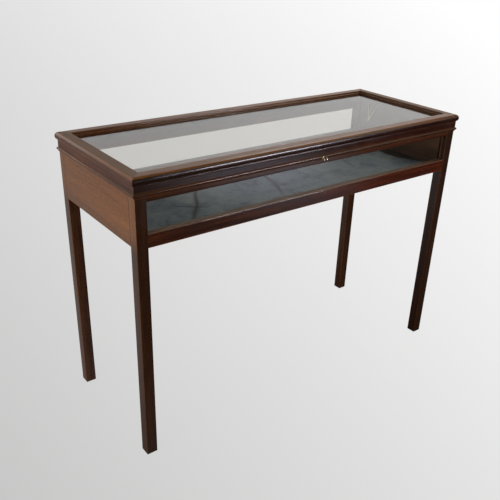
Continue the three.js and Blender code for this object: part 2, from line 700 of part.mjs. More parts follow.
// Key, made with its axis on the Y axis and the face of the case at Y = 0
const keyBowCentre = -keyShankOut - keyBowLength / 2 + keyBowBar / 2;
const cavityStart = faceY + lockFrontY;
const cavityEnd = faceY + lockBackY - lockWall;
const boltMiddle = (cavityStart + cavityEnd) / 2;
function keyGeometry() {
  const bow = new THREE.Shape(arc(keyBowCentre, 0, keyBowLength / 2, keyBowHeight / 2, 0, 4, roundSteps).slice(1));
  bow.holes.push(new THREE.Path(
    arc(keyBowCentre, 0, keyBowLength / 2 - keyBowBar, keyBowHeight / 2 - keyBowBar, 0, 4, roundSteps).slice(1),
  ));
  const bowPlate = new THREE.ExtrudeGeometry(bow, { depth: keyBowThickness, bevelEnabled: false })
    .applyMatrix4(new THREE.Matrix4().set(0, 0, 1, -keyBowThickness / 2, 1, 0, 0, 0, 0, 1, 0, 0, 0, 0, 0, 1));
  const shankEnd = cavityEnd - fitGap;
  return join(
    rodY(keyShankRadius, -keyShankOut, shankEnd, 0, 0),
    rodY(keyTipRadius, -keyShankOut, shankEnd + keyTipLength, 0, 0),
    rodY(keyCollarRadius, -keyShankOut, -keyShankOut + keyCollarLength, 0, 0),
    bowPlate,
    block(
      [-keyBitThickness / 2, boltMiddle - keyBitLength / 2, -keyBitReach],
      [keyBitThickness / 2, boltMiddle + keyBitLength / 2, 0],
    ),
  );
}
addPiece('key', keyGeometry(), 'steel', lockGroup).position.set(0, -faceY, keyZ);

// Bolt: a flat bar with a notch for the bit and a nose for the link plate
const boltTop = lockTop - lockWall - boltClearance;
const boltBottom = boltTop - boltHeight;
const boltShoulder = linkTabPlace - boltTravel - keyholeClearance;
const boltNoseMiddle = (boltTop + boltBottom) / 2;
const boltFaces = [-faceY + boltMiddle - boltThickness / 2, -faceY + boltMiddle + boltThickness / 2];
addPiece('lock_bolt', cut(
  join(
    block([-boltTail, boltFaces[0], boltBottom], [boltShoulder, boltFaces[1], boltTop]),
    block(
      [boltShoulder - boltNoseLength, boltFaces[0], boltNoseMiddle - boltNoseHeight / 2],
      [boltShoulder + boltNoseLength, boltFaces[1], boltNoseMiddle + boltNoseHeight / 2],
    ),
  ),
  block(
    [-boltTravel / 2 - boltNotchHalfWidth, boltFaces[0] - cutOverrun, boltBottom - cutOverrun],
    [-boltTravel / 2 + boltNotchHalfWidth, boltFaces[1] + cutOverrun, boltBottom + boltNotchDepth],
  ),
), 'steel', lockGroup);

// Link plate under the front rail of the lid, with the tab that the bolt enters
addPiece('link_plate', cut(
  join(
    block(
      [-linkPlateHalfLength, linkY - linkPlateWidth / 2, lidUnderside],
      [linkPlateHalfLength, linkY + linkPlateWidth / 2, lidUnderside + linkPlateThickness],
    ),
    block(
      [linkTabX[0], linkTabY[0], boltBottom],
      [linkTabX[1], linkTabY[1], lidUnderside + linkPlateThickness / 2],
    ),
  ),
  block(
    [linkTabX[0] - cutOverrun, boltFaces[0] - fitGap, boltNoseMiddle - boltNoseHeight / 2 - fitGap],
    [linkTabX[1] + cutOverrun, boltFaces[1] + fitGap, boltNoseMiddle + boltNoseHeight / 2 + fitGap],
  ),
), 'brass', lidGroup);

// Folding stay: two flat brass arms in neighbouring planes, riveted at the elbow.
// The lower arm turns on the end panel and the upper arm on the lid.
const stayElbow = point(faceY - stayElbowInset, lidUnderside - stayElbowDrop);
const upperArmX = lidInnerX - stayWallGap - stayArmThickness;
const lowerArmX = upperArmX + stayArmThickness + fitGap;

function armOutline(length) {
  return [
    ...arc(length, 0, stayArmHalfWidth, stayArmHalfWidth, -1, 1, roundSteps / 2),
    ...arc(0, 0, stayArmHalfWidth, stayArmHalfWidth, 1, 3, roundSteps / 2),
  ];
}

// Arm along +Y from its pivot at the origin, with the head of the elbow rivet
function stayArm(from, to, x, headSide) {
  const length = from.distanceTo(to);
  const headStart = headSide > 0 ? stayArmThickness - fitGap : -stayHeadThickness;
  const head = rodX(stayHeadRadius, headStart, headStart + stayHeadThickness + fitGap, length, 0);
  const eye = rodX(stayStudRadius + stayPlay, -cutOverrun, cutOverrun, 0, 0);
  const arm = cut(join(prismX(armOutline(length), 0, stayArmThickness), head), eye);
  return { arm, x, from, angle: Math.atan2(to.y - from.y, to.x - from.x) };
}
function addArm(name, { arm, x, from, angle }) {
  const mesh = addPiece(name, arm, 'brass', stayGroup);
  mesh.position.set(x, from.x, from.y);
  mesh.rotation.x = angle;
}
addArm('stay_arm_lower', stayArm(stayCase, stayElbow, lowerArmX, 1));
addArm('stay_arm_upper', stayArm(stayLid, stayElbow, upperArmX, -1));

// Shoulder screw that an arm turns on, driven into the wood at the given wall
function stayScrew(pivot, wall, armX) {
  const headEnd = armX - fitGap;
  const collarStart = armX + stayArmThickness + fitGap;
  const pieces = [
    rodX(stayStudRadius, headEnd - stayHeadThickness, wall + stayScrewDepth, pivot.x, pivot.y),
    rodX(stayHeadRadius, headEnd - stayHeadThickness, headEnd, pivot.x, pivot.y),
  ];
  if (collarStart < wall) pieces.push(rodX(stayCollarRadius, collarStart, wall, pivot.x, pivot.y));
  return join(...pieces);
}
addPiece('stay_screw_case', stayScrew(stayCase, panelInnerX, lowerArmX), 'brass', caseGroup);
addPiece('stay_screw_lid', stayScrew(stayLid, lidInnerX, upperArmX), 'brass', lidGroup);

export default table;
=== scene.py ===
import math
from functools import partial

import bmesh
import bpy
import numpy as np
from mathutils import Matrix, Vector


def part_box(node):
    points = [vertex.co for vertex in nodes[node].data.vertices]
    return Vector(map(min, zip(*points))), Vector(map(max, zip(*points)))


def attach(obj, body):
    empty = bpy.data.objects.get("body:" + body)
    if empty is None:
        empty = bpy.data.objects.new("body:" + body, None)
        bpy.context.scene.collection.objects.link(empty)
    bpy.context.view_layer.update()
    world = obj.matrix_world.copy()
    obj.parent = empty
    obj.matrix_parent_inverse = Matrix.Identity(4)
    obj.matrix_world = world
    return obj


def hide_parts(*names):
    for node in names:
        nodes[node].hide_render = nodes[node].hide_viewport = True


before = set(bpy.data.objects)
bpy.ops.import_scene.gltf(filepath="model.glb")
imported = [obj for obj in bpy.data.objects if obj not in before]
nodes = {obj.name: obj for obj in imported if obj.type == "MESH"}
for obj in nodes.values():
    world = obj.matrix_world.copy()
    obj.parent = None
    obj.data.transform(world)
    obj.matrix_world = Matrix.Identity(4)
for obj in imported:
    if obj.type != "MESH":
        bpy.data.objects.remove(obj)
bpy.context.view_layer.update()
mm = 0.001


def say(stage):
    print("stage:", stage)


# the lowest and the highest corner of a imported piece, in mm
def boxOf(name):
    return np.round(np.array([tuple(corner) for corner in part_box(name)]) / mm, 2)


# colours are written as sRGB hex and turned to linear here
def linear(hexColour, alpha=1.0):
    parts = [int(hexColour[i:i + 2], 16) / 255 for i in (1, 3, 5)]
    return tuple(c / 12.92 if c <= 0.04045 else ((c + 0.055) / 1.055) ** 2.4 for c in parts) + (alpha,)


# One node with its settings and links. An input is a plain value, a node for a link from its first
# output, or (node, output), and stops are a colour ramp's (place, colour or grey). A Mix node has its
# share at input 0; it takes numbers at 2 and 3 and gives them at output 0, and colours at 6, 7 and 2.
def addNode(tree, kind, inputs=None, stops=(), **settings):
    node = tree.nodes.new("ShaderNode" + kind)
    for key, value in settings.items():
        setattr(node, key, value)
    for key, value in (inputs or {}).items():
        source = (value, 0) if isinstance(value, bpy.types.Node) else value
        if isinstance(source, tuple) and isinstance(source[0], bpy.types.Node):
            tree.links.new(source[0].outputs[source[1]], node.inputs[key])
        else:
            node.inputs[key].default_value = value
    for _ in stops[2:]:
        node.color_ramp.elements.new(0.5)
    for number, (place, colour) in enumerate(stops):
        element = node.color_ramp.elements[number]
        element.position = place
        element.color = linear(colour) if isinstance(colour, str) else (colour, colour, colour, 1)
    return node


# gives a material or the world new nodes: build adds them with add, and returns the shader
def dressed(owner, build, *look, output="OutputMaterial"):
    owner.use_nodes = True
    owner.node_tree.nodes.clear()
    add = partial(addNode, owner.node_tree)
    add(output, {"Surface": build(add, add("TexCoord"), *look)})
    return owner


# puts a camera or a lamp at a place, with its own x, y and z axes as the columns of turned
def setUp(thing, turned, place):
    thing.matrix_world = Matrix([[*row, p] for row, p in zip(turned, place)] + [[0, 0, 0, 1]])
    bpy.context.scene.collection.objects.link(thing)


# Camera, fitted to the corners of the lid, the case and the legs in the picture
cameraView = {
    "focalPx": 652.578, "centrePx": (256.738, 264.541), "framePx": 500,
    "azimuth": -38.2801, "elevation": 26.9728, "roll": 2.2719,
    "placeMm": (-1275.37, -1556.44, 1385.04), "sensorMm": 36.0, "clipEnd": 200,
}


# back, right and up from the azimuth, elevation and roll; lens and shifts from the focal length and
# the centre in pixels
def placeCamera(view):
    az, el, roll = (math.radians(view[key]) for key in ("azimuth", "elevation", "roll"))
    back = np.array([math.sin(az) * math.cos(el), -math.cos(az) * math.cos(el), math.sin(el)])
    levelX = np.cross([0, 0, 1], back)
    levelX /= np.linalg.norm(levelX)
    levelY = np.cross(back, levelX)
    right = math.cos(roll) * levelX + math.sin(roll) * levelY
    up = -math.sin(roll) * levelX + math.cos(roll) * levelY
    data = bpy.data.cameras.new("camera")
    data.sensor_width = view["sensorMm"]
    data.lens = view["focalPx"] / view["framePx"] * view["sensorMm"]
    data.shift_x = 0.5 - view["centrePx"][0] / view["framePx"]
    data.shift_y = view["centrePx"][1] / view["framePx"] - 0.5
    data.clip_end = view["clipEnd"]
    camera = bpy.data.objects.new("camera", data)
    setUp(camera, np.stack([right, up, back], 1), np.array(view["placeMm"]) * mm)
    bpy.context.scene.camera = camera


placeCamera(cameraView)
say("camera")

# Studio: a pale floor that runs on behind as the backdrop, a pale sky and soft lamps.
# Its brightness runs up with the distance and towards the right, as the backdrop's does. In metres.
studio = {
    "floorHalf": 40.0, "bounce": "#8f8c88", "shadowShare": "#2a2a2a",
    "depthWay": (0.6195, 0.785, 0), "depthStart": 2.012, "sideWay": (0.785, -0.6195, 0), "softening": 1.5,
    "base": 0.41, "depthGain": 0.54, "sideGain": 0.40,
    "sheenWay": (-0.6, 0.8, 0), "sheenDim": 0.012, "sheenPale": 0.3, "cool": "#e6e5ff",
    "poolPlace": (1.2, -2.13, 0), "poolRadius": 0.85, "poolGain": 1.0,
    "ambient": 0.07, "throughGlass": 0.5, "skyDim": 0.02, "skyNear": 0.66, "skyPale": 0.82, "sky": "#f2f2f2",
}
lamps = {
    "leftSoftbox": {"place": (-2.7, -0.55, 0.55), "aim": (-0.6, 0, 0.6), "size": (1.5, 0.6),
                    "power": 49, "colour": "#fff4e8"},
    "topSoftbox": {"place": (1.3, 0.7, 2.4), "aim": (0.1, 0, 0.8), "size": (1.4, 1.2),
                   "power": 20, "colour": "#fffaf2"},
    "leftFill": {"place": (-2.0, -0.9, 2.1), "aim": (0, 0, 0.75), "size": (1.4, 1.2),
                 "power": 10, "colour": "#fff4e8"},
    "frontFill": {"place": (1.5, -1.6, 1.9), "aim": (0.2, -0.2, 0.7), "size": (1.8, 1.6),
                  "power": 8, "colour": "#ffe9d2"},
    "lowWindow": {"place": (1.68, -2.84, 0.93), "aim": (-0.3, -0.23, 0.84), "size": (0.95, 0.22),
                  "power": 35, "colour": "#ece6f2"},
    "backFill": {"place": (-0.9, 3.0, 1.2), "aim": (0, 0.2, 0.7), "size": (1.6, 1.0),
                 "power": 12, "colour": "#fffaf2"},
}
smooth = {"interpolation_type": "SMOOTHSTEP"}  # a MapRange with soft ends


# 1 for a ray straight from the camera or on through glass, 0 once it has bounced off anything:
# max(camera, transmission) * (bounces off matt and glossy surfaces < 0.5)
def straightLook(add, path):
    bounces = add("Math", {0: (path, "Diffuse Depth"), 1: (path, "Glossy Depth")}, operation="ADD")
    unbounced = add("Math", {0: bounces, 1: 0.5}, operation="LESS_THAN")
    ahead = add("Math", {0: (path, "Is Camera Ray"), 1: (path, "Is Transmission Ray")}, operation="MAXIMUM")
    return add("Math", {0: ahead, 1: unbounced}, operation="MULTIPLY")


def skyLight(add, coords, look):
    path = add("LightPath")
    seen = straightLook(add, path)
    # pale low down behind on the right, and dim in front, overhead and on the left
    part = add("SeparateXYZ", {0: (coords, "Generated")})
    across = add("MapRange", {"Value": (part, "X"), "From Min": 0.4, "From Max": 0.82,
                              "To Min": look["skyNear"], "To Max": look["skyPale"]})
    low = add("MapRange", {"Value": (part, "Z"), "From Min": 0.7, "From Max": 0.4}, **smooth)
    behind = add("MapRange", {"Value": (part, "Y"), "From Min": -0.1, "From Max": 0.35}, **smooth)
    place = add("Math", {0: low, 1: behind}, operation="MULTIPLY")
    lit = add("Math", {0: place, 1: across}, operation="MULTIPLY")
    glow = add("Math", {0: lit, 1: look["skyDim"]}, operation="ADD")
    # what comes in through the panes lights the matt surfaces in the case, and makes no mirror image
    unpolished = add("Math", {0: (path, "Glossy Depth"), 1: 0.5}, operation="LESS_THAN")
    through = add("Math", {0: (path, "Is Transmission Ray"), 1: unpolished}, operation="MULTIPLY")
    inside = add("Math", {0: through, 1: look["throughGlass"], 2: look["ambient"]}, operation="MULTIPLY_ADD")
    dim = add("Background", {"Color": (1, 1, 1, 1), "Strength": inside})
    sheen = add("Background", {"Color": (1, 1, 1, 1), "Strength": glow})
    pale = add("Background", {"Color": linear(look["sky"]), "Strength": 1.0})
    glossy = add("MixShader", {0: (path, "Is Glossy Ray"), 1: dim, 2: sheen})
    return add("MixShader", {0: seen, 1: glossy, 2: pale})


# Pale paper, matt, that glows by itself where the camera sees it, as a lit backdrop does:
# base + depthGain * depth / (depth + softening) + sideGain * side / (depth + softening)
def litPaper(add, coords, look):
    depthDot, sideDot, sheenDot = (
        add("VectorMath", {0: (coords, "Object"), 1: look[way]}, operation="DOT_PRODUCT")
        for way in ("depthWay", "sideWay", "sheenWay"))
    depth = add("Math", {0: (depthDot, "Value"), 1: look["depthStart"]}, operation="ADD")
    depthAhead = add("Math", {0: depth, 1: 0.0}, operation="MAXIMUM")
    spread = add("Math", {0: depthAhead, 1: look["softening"]}, operation="ADD")
    scaledDepth = add("Math", {0: depthAhead, 1: look["depthGain"]}, operation="MULTIPLY")
    scaledBoth = add("Math", {0: (sideDot, "Value"), 1: look["sideGain"], 2: scaledDepth},
                     operation="MULTIPLY_ADD")
    ratio = add("Math", {0: scaledBoth, 1: spread}, operation="DIVIDE")
    level = add("Math", {0: ratio, 1: look["base"]}, operation="ADD")
    bounded = add("Clamp", {"Value": level, "Min": 0.52, "Max": 1.0})
    # in a glossy surface the floor is pale behind and dim in front, where a pool of daylight lies
    sheen = add("MapRange", {"Value": (sheenDot, "Value"), "From Min": -0.6, "From Max": 1.6,
                             "To Min": look["sheenDim"], "To Max": look["sheenPale"]}, **smooth)
    gap = add("VectorMath", {0: (coords, "Object"), 1: look["poolPlace"]}, operation="DISTANCE")
    pool = add("MapRange", {"Value": (gap, "Value"), "From Min": look["poolRadius"], "From Max": 0.15,
                            "To Max": look["poolGain"]}, **smooth)
    mirrored = add("Math", {0: sheen, 1: pool}, operation="ADD")
    path = add("LightPath")
    direct = straightLook(add, path)
    shown = add("Mix", {0: direct, 2: mirrored, 3: bounded}, data_type="FLOAT")
    indirect = add("Math", {0: pool, 1: direct}, operation="SUBTRACT")
    hue = add("Mix", {0: indirect, 6: (1, 1, 1, 1), 7: linear(look["cool"])}, data_type="RGBA")
    glow = add("Emission", {"Color": (hue, 2), "Strength": shown})
    shade = add("BsdfDiffuse", {"Color": linear(look["shadowShare"])})
    both = add("AddShader", {0: glow, 1: shade})
    bounce = add("BsdfDiffuse", {"Color": linear(look["bounce"])})
    seen = add("Math", {0: direct, 1: (path, "Is Glossy Ray")}, operation="MAXIMUM")
    return add("MixShader", {0: seen, 1: bounce, 2: both})


def layFloor(half, paper):
    mesh = bpy.data.meshes.new("studioFloor")
    corners = [(-half, -half, 0), (half, -half, 0), (half, half, 0), (-half, half, 0)]
    mesh.from_pydata(corners, [], [(0, 1, 2, 3)])
    mesh.materials.append(paper)
    floor = bpy.data.objects.new("studioFloor", mesh)
    bpy.context.scene.collection.objects.link(floor)


# a lamp that looks from its place towards its aim, with its longer side level
def hangLamp(name, lamp):
    data = bpy.data.lights.new(name, "AREA")
    data.shape = "RECTANGLE"
    data.size, data.size_y = lamp["size"]
    data.energy = lamp["power"]
    data.color = linear(lamp["colour"])[:3]
    place, aim = np.array(lamp["place"]), np.array(lamp["aim"])
    back = (place - aim) / np.linalg.norm(place - aim)
    side = np.cross([0, 0, 1], back)
    side /= np.linalg.norm(side)
    setUp(bpy.data.objects.new(name, data), np.stack([side, np.cross(back, side), back], 1), place)


bpy.context.scene.world = dressed(bpy.data.worlds.new("studioSky"), skyLight, studio, output="OutputWorld")
layFloor(studio["floorHalf"], dressed(bpy.data.materials.new("paleStudioPaper"), litPaper, studio))
for name, lamp in lamps.items():
    hangLamp(name, lamp)
bpy.context.scene.view_settings.view_transform = "Standard"
say("studio")


# French-polished mahogany: a deep red-brown wood with long ribbon stripes and short dark
# pores, under a thin hard polish that rubs lighter along its edges, drawn lighter there also as
# painted light caught by the arrises.
mahogany = {
    "ribbonMm": 11, "ribbonLengthMm": 260, "broadMm": 120, "broadLengthMm": 600, "broadShare": 0.55,
    "poreMm": 0.55, "poreLengthMm": 9, "poreDepthMm": 0.03, "pore": "#7a6a60",
    "rubMm": 14, "rubLengthMm": 60, "oldPolish": "#120a07", "roughness": (0.17, 0.28), "bleach": 0.75,
}
lighterOutsideTones = ("#5f3b1c", "#6c431f", "#7a4f28")
woodTones = {
    "frame": {"wood": ("#1c0b04", "#3a1c0a", "#5a3014"), "faded": "#805a2e", "worn": "#744420",
              "coat": 0.25, "inside": 0.25},
    # the lid's bright worn tone is also the colour of the painted light along the top of the nose and in the
    # cove
    "lid": {"wood": ("#150a05", "#2a150a", "#44260f"), "faded": "#8c5a2c", "worn": "#a2662c",
            "coat": 0.35, "inside": 0.0, "ruddy": ("#1c0802", "#341203", "#522408")},
    # the lid's ends: their grey faded tone is partly painted reflection of the pale sky on the flats
    "lidEnd": {"wood": ("#28140a", "#4c2810", "#704420"), "faded": "#937c6c", "worn": "#8a5a2a",
               "coat": 0.0, "inside": 0.0},
    "topRail": {"wood": ("#140702", "#281105", "#44200a"), "faded": "#3a2010", "worn": "#6e4522",
                "coat": 0.6, "inside": 0.4, "ruddy": ("#1c0802", "#3a1303", "#542306")},
    "front": {"wood": ("#1c0a03", "#3a1a09", "#60300f"), "faded": "#2c170a", "worn": "#a07440",
              "coat": 0.6, "inside": 0.4, "ruddy": ("#2c0f03", "#5c2406", "#823c0a")},
    "leg": {"wood": ("#120905", "#28140a", "#3e2412"), "faded": "#4a2f1a", "worn": "#583619",
            "coat": 0.2, "inside": 0.0, "sunned": lighterOutsideTones},
    "end": {"wood": ("#2c170a", "#4a2f1a", "#5e4026"), "faded": "#7a5632", "worn": "#946436",
            "coat": 0.1, "inside": 0.5, "sunned": lighterOutsideTones},
}
woodTones["rearLeg"] = {**woodTones["leg"], "wood": ("#21120a", "#402412", "#5a3820")}


def polishedMahogany(add, coords, grain, tone, look=mahogany):
    # a pattern stretched along the grain, with its sizes across and along it from the look, in mm
    def stretched(key, shift=(0, 0, 0), **inputs):
        scale = [1 / (look[key + "Mm"] * mm)] * 3
        scale["XYZ".index(grain)] = 1 / (look[key + "LengthMm"] * mm)
        place = add("Mapping", {"Vector": (coords, "Object"), "Scale": scale, "Location": shift})
        return add("TexNoise", {"Vector": place, "Scale": 1.0, **inputs})

    ribbon = stretched("ribbon", Detail=5.0, Roughness=0.62, Distortion=0.35)
    broad = stretched("broad", (3.1, 1.7, 0.4), Detail=3.0)
    mixed = add("Math", {0: broad, 1: look["broadShare"], 2: ribbon}, operation="MULTIPLY_ADD")
    share = add("MapRange", {"Value": mixed, "From Min": 0.5, "From Max": 1.1})
    here = add("SeparateXYZ", {0: (coords, "Object")})
    facing = add("SeparateXYZ", {0: (coords, "Normal")})

    # the ribbons from dark to light, and a second set of tones laid over the first by a share
    def ribbons(key):
        return add("ValToRGB", {"Fac": share}, list(zip((0.0, 0.5, 1.0), tone[key])))

    def overlaid(below, key, factor):
        return (add("Mix", {0: factor, 6: below, 7: ribbons(key)}, data_type="RGBA"), 2)

    wood = ribbons("wood")

    # the right half is redder, as the wood there is, and lighter: painted light standing in for the stronger
    # light that falls on the right
    if "ruddy" in tone:
        ruddyAndLitShare = add("MapRange", {"Value": (here, "X"), "From Min": -0.3, "From Max": 0.35}, **smooth)
        wood = overlaid(wood, "ruddy", ruddyAndLitShare)
    # the faces that look outwards take a lighter set of tones from 0.64 to 0.72 m up
    outward = add("Math", {0: (here, "X"), 1: (facing, "X")}, operation="MULTIPLY")
    if "sunned" in tone:
        outside = add("MapRange", {"Value": outward, "From Min": 0.3, "From Max": 0.5})
        high = add("MapRange", {"Value": (here, "Z"), "From Min": 0.64, "From Max": 0.72}, **smooth)
        lighterOutsideShare = add("Math", {0: outside, 1: high}, operation="MULTIPLY")
        wood = overlaid(wood, "sunned", lighterOutsideShare)

    pore = stretched("pore", Detail=2.0)
    poreMask = add("MapRange", {"Value": pore, "From Min": 0.58, "From Max": 0.68})
    pored = add("Mix", {0: poreMask, 6: wood, 7: linear(look["pore"])}, data_type="RGBA",
                blend_type="MULTIPLY")

    # arrises rubbed lighter by hands and dusters, partly painted light where they catch the lamps,
    # and old polish gathered dark in the hollows
    turn = add("Attribute", attribute_name="wearAndPaintedLight")
    arris = add("MapRange", {"Value": (turn, "Fac"), "From Min": 0.25, "From Max": 0.8})
    hollow = add("MapRange", {"Value": (turn, "Fac"), "From Min": -0.15, "From Max": -0.7, "To Max": 0.4})
    rub = stretched("rub", (5, 2, 8), Detail=3.0)
    rubShare = add("MapRange", {"Value": rub, "To Min": 0.25, "To Max": 0.8})
    rubbed = add("Math", {0: arris, 1: rubShare}, operation="MULTIPLY")
    lighter = add("Mix", {0: rubbed, 6: (pored, 2), 7: linear(tone["worn"])}, data_type="RGBA")
    worn = add("Mix", {0: hollow, 6: (lighter, 2), 7: linear(look["oldPolish"])}, data_type="RGBA")

    # faces that look up are bleached a little by the sun and dulled by dusting; on the lid's ends
    # their grey tone is partly painted reflection of the pale sky
    bleach = add("MapRange", {"Value": (facing, "Z"), "From Min": 0.8, "From Max": 1.0,
                              "To Max": look["bleach"]})
    faded = add("Mix", {0: bleach, 6: (worn, 2), 7: linear(tone["faded"])}, data_type="RGBA")
    smear = add("TexNoise", {"Vector": (coords, "Object"), "Scale": 22.0, "Detail": 4.0})
    gloss = add("MapRange", {"Value": smear, "From Min": 0.3, "From Max": 0.7,
                             "To Min": look["roughness"][0], "To Max": look["roughness"][1]})
    dulled = add("Math", {0: bleach, 1: 0.5, 2: gloss}, operation="MULTIPLY_ADD")
    # the faces that look into the case were never polished
    inward = add("MapRange", {"Value": outward, "From Min": -0.3, "From Max": -0.5, "To Max": tone["inside"]})
    raw = add("Math", {0: dulled, 1: inward}, operation="ADD")
    relief = add("Bump", {"Strength": 0.35, "Distance": look["poreDepthMm"] * mm, "Height": poreMask},
                 invert=True)
    return add("BsdfPrincipled", {"Base Color": (faded, 2), "Roughness": raw, "Normal": relief,
                                  "Coat Weight": tone["coat"], "Coat Roughness": 0.05})


# Old brass: a warm yellow metal, dulled in its hollows, with fine rubbing marks
def dulledBrass(add, coords, bright="#cdb27a", dull="#7c6539", roughness=(0.22, 0.42)):
    cloud = add("TexNoise", {"Vector": (coords, "Object"), "Scale": 1 / (4 * mm), "Detail": 5.0,
                             "Roughness": 0.6})
    tone = add("ValToRGB", {"Fac": cloud}, [(0.3, dull), (0.7, bright)])
    gloss = add("MapRange", {"Value": cloud, "From Min": 0.3, "From Max": 0.7,
                             "To Min": roughness[1], "To Max": roughness[0]})
    scratch = add("TexNoise", {"Vector": (coords, "Object"), "Scale": 1 / (0.6 * mm), "Detail": 3.0})
    relief = add("Bump", {"Strength": 0.2, "Distance": 0.03 * mm, "Height": scratch})
    return add("BsdfPrincipled", {"Base Color": tone, "Roughness": gloss, "Normal": relief, "Metallic": 1.0})


# Drawn sheet glass of an old cabinet: clear, with a trace of warm grey and a slow waviness.
# Its shadow is clear too, so that the lamps reach the lining.
def drawnGlass(add, coords, tint=linear("#f0efec")):
    wave = add("TexNoise", {"Vector": (coords, "Object"), "Scale": 1 / (170 * mm), "Detail": 1.0})
    relief = add("Bump", {"Strength": 0.1, "Distance": 0.4 * mm, "Height": wave})
    glass = add("BsdfPrincipled", {"Base Color": tint, "Roughness": 0.0, "IOR": 1.5,
                                   "Transmission Weight": 1.0, "Normal": relief})
    path = add("LightPath")
    clear = add("BsdfTransparent", {"Color": tint})
    return add("MixShader", {0: (path, "Is Shadow Ray"), 1: glass, 2: clear})


# Plain deal of the base board: pale softwood gone brown and dusty, never polished
def dustyDeal(add, coords):
    place = add("Mapping", {"Vector": (coords, "Object"),
                            "Scale": (1 / (180 * mm), 1 / (7 * mm), 1 / (7 * mm))})
    grain = add("TexNoise", {"Vector": place, "Scale": 1.0, "Detail": 6.0, "Roughness": 0.65,
                             "Distortion": 0.4})
    tone = add("ValToRGB", {"Fac": grain}, [(0.3, "#1f1811"), (0.55, "#33281c"), (0.75, "#463826")])
    relief = add("Bump", {"Strength": 0.4, "Distance": 0.15 * mm, "Height": grain})
    return add("BsdfPrincipled", {"Base Color": tone, "Roughness": 0.85, "Normal": relief})


# Faded baize: a felted wool cloth, grey-blue going to grey-green, with a matt nap and worn lighter
# patches. Its nap is finer than the picture shows, and is drawn 1.6 mm coarse.
def fadedBaize(add, coords):
    crease = add("Attribute", attribute_name="wearAndPaintedLight")
    patch = add("TexNoise", {"Vector": (coords, "Object"), "Scale": 1 / (80 * mm), "Detail": 8.0,
                             "Roughness": 0.76})
    tone = add("ValToRGB", {"Fac": patch},
               [(0.32, "#374952"), (0.47, "#546775"), (0.6, "#68797f"), (0.72, "#7c837e")])
    # a net of fine dark wrinkles, pressed in by what has lain on the cloth
    bent = add("TexNoise", {"Vector": (coords, "Object"), "Scale": 1 / (60 * mm), "Detail": 2.0})
    bentPlace = add("Mix", {0: 0.06, 6: (coords, "Object"), 7: (bent, 1)}, data_type="RGBA",
                    blend_type="ADD")
    wrinkle = add("TexVoronoi", {"Vector": (bentPlace, 2), "Scale": 1 / (85 * mm)},
                  feature="DISTANCE_TO_EDGE")
    crack = add("MapRange", {"Value": wrinkle, "From Min": 0.05, "From Max": 0.0, "To Max": 0.75})
    partly = add("MapRange", {"Value": patch, "From Min": 0.52, "From Max": 0.4})
    broken = add("Math", {0: crack, 1: partly}, operation="MULTIPLY")
    nap = add("TexNoise", {"Vector": (coords, "Object"), "Scale": 1 / (1.6 * mm), "Detail": 3.0})
    napTone = add("ValToRGB", {"Fac": nap}, [(0.3, 0.7), (0.7, 1.0)])
    felted = add("Mix", {0: 1.0, 6: tone, 7: napTone}, data_type="RGBA", blend_type="MULTIPLY")
    # painted shade along the creases, from the mesh attribute, darkens the cloth, as does the net of wrinkles
    dark = add("Math", {0: (crease, "Fac"), 1: broken}, operation="MAXIMUM")
    soiledAndShaded = add("Mix", {0: dark, 6: (felted, 2), 7: linear("#0b1318")}, data_type="RGBA")
    relief = add("Bump", {"Strength": 0.5, "Distance": 0.3 * mm, "Height": nap})
    return add("BsdfPrincipled", {"Base Color": (soiledAndShaded, 2), "Roughness": 0.95, "Normal": relief,
                                  "Sheen Weight": 0.15})


# each finish's material name, how it is built and with what; the lid's ends are rubbed dull
finishes = {
    "frameX": ("mahoganyFrameAcross", polishedMahogany, "X", woodTones["frame"]),
    "frameY": ("mahoganyFrameDeep", polishedMahogany, "Y", woodTones["frame"]),
    "frontX": ("mahoganyFrontRail", polishedMahogany, "X", woodTones["front"]),
    "topRailX": ("mahoganyTopRail", polishedMahogany, "X", woodTones["topRail"]),
    "lidX": ("mahoganyLidAcross", polishedMahogany, "X", woodTones["lid"]),
    "lidY": ("mahoganyLidDeep", polishedMahogany, "Y", woodTones["lidEnd"],
             {**mahogany, "roughness": (0.32, 0.44)}),
    "beadZ": ("mahoganyUprightBead", polishedMahogany, "Z", woodTones["frame"]),
    "legZ": ("mahoganyLeg", polishedMahogany, "Z", woodTones["leg"]),
    "rearLegZ": ("mahoganyRearLeg", polishedMahogany, "Z", woodTones["rearLeg"]),
    "endY": ("mahoganyFadedEnd", polishedMahogany, "Y", woodTones["end"]),
    "brass": ("dulledBrass", dulledBrass),
    "stayBrass": ("rubbedStayBrass", dulledBrass, "#efe3c2", "#b8a679", (0.34, 0.5)),
    "iron": ("wornKeySteel", dulledBrass, "#e6dcc8", "#7a7062", (0.14, 0.34)),
    "glass": ("drawnSheetGlass", drawnGlass),
    "deal": ("dustyDeal", dustyDeal),
    "baize": ("fadedBaize", fadedBaize),
}
for key, (name, build, *look) in finishes.items():
    finishes[key] = dressed(bpy.data.materials.new(name), build, *look)


# Every new piece is an outline carried through stations: an array of stations by outline
# points by (x, y, z) in mm. Neighbouring stations are joined by four-sided faces, and the
# first and last are capped, unless the run closes on itself.
def carried(name, rings, closed=False, wear=0.0):
    rings = np.asarray(rings, float)
    count, points = rings.shape[:2]
    index = np.arange(count * points).reshape(count, points)
    ahead = np.roll(index, -1, axis=0)
    runs = count if closed else count - 1
    quads = np.stack([index, np.roll(index, -1, axis=1), np.roll(ahead, -1, axis=1), ahead], -1)[:runs]
    caps = [] if closed else [index[0][::-1].tolist(), index[-1].tolist()]
    return {"name": name, "points": rings.reshape(-1, 3), "faces": quads.reshape(-1, 4).tolist() + caps,
            "wear": np.broadcast_to(wear, (count, points)).ravel()}


# joins several shells to one
def together(*shells):
    faces, first = [], 0
    for shell in shells:
        faces += [[i + first for i in face] for face in shell["faces"]]
        first += len(shell["points"])
    return {"name": shells[0]["name"], "points": np.vstack([shell["points"] for shell in shells]),
            "faces": faces, "wear": np.concatenate([shell["wear"] for shell in shells])}


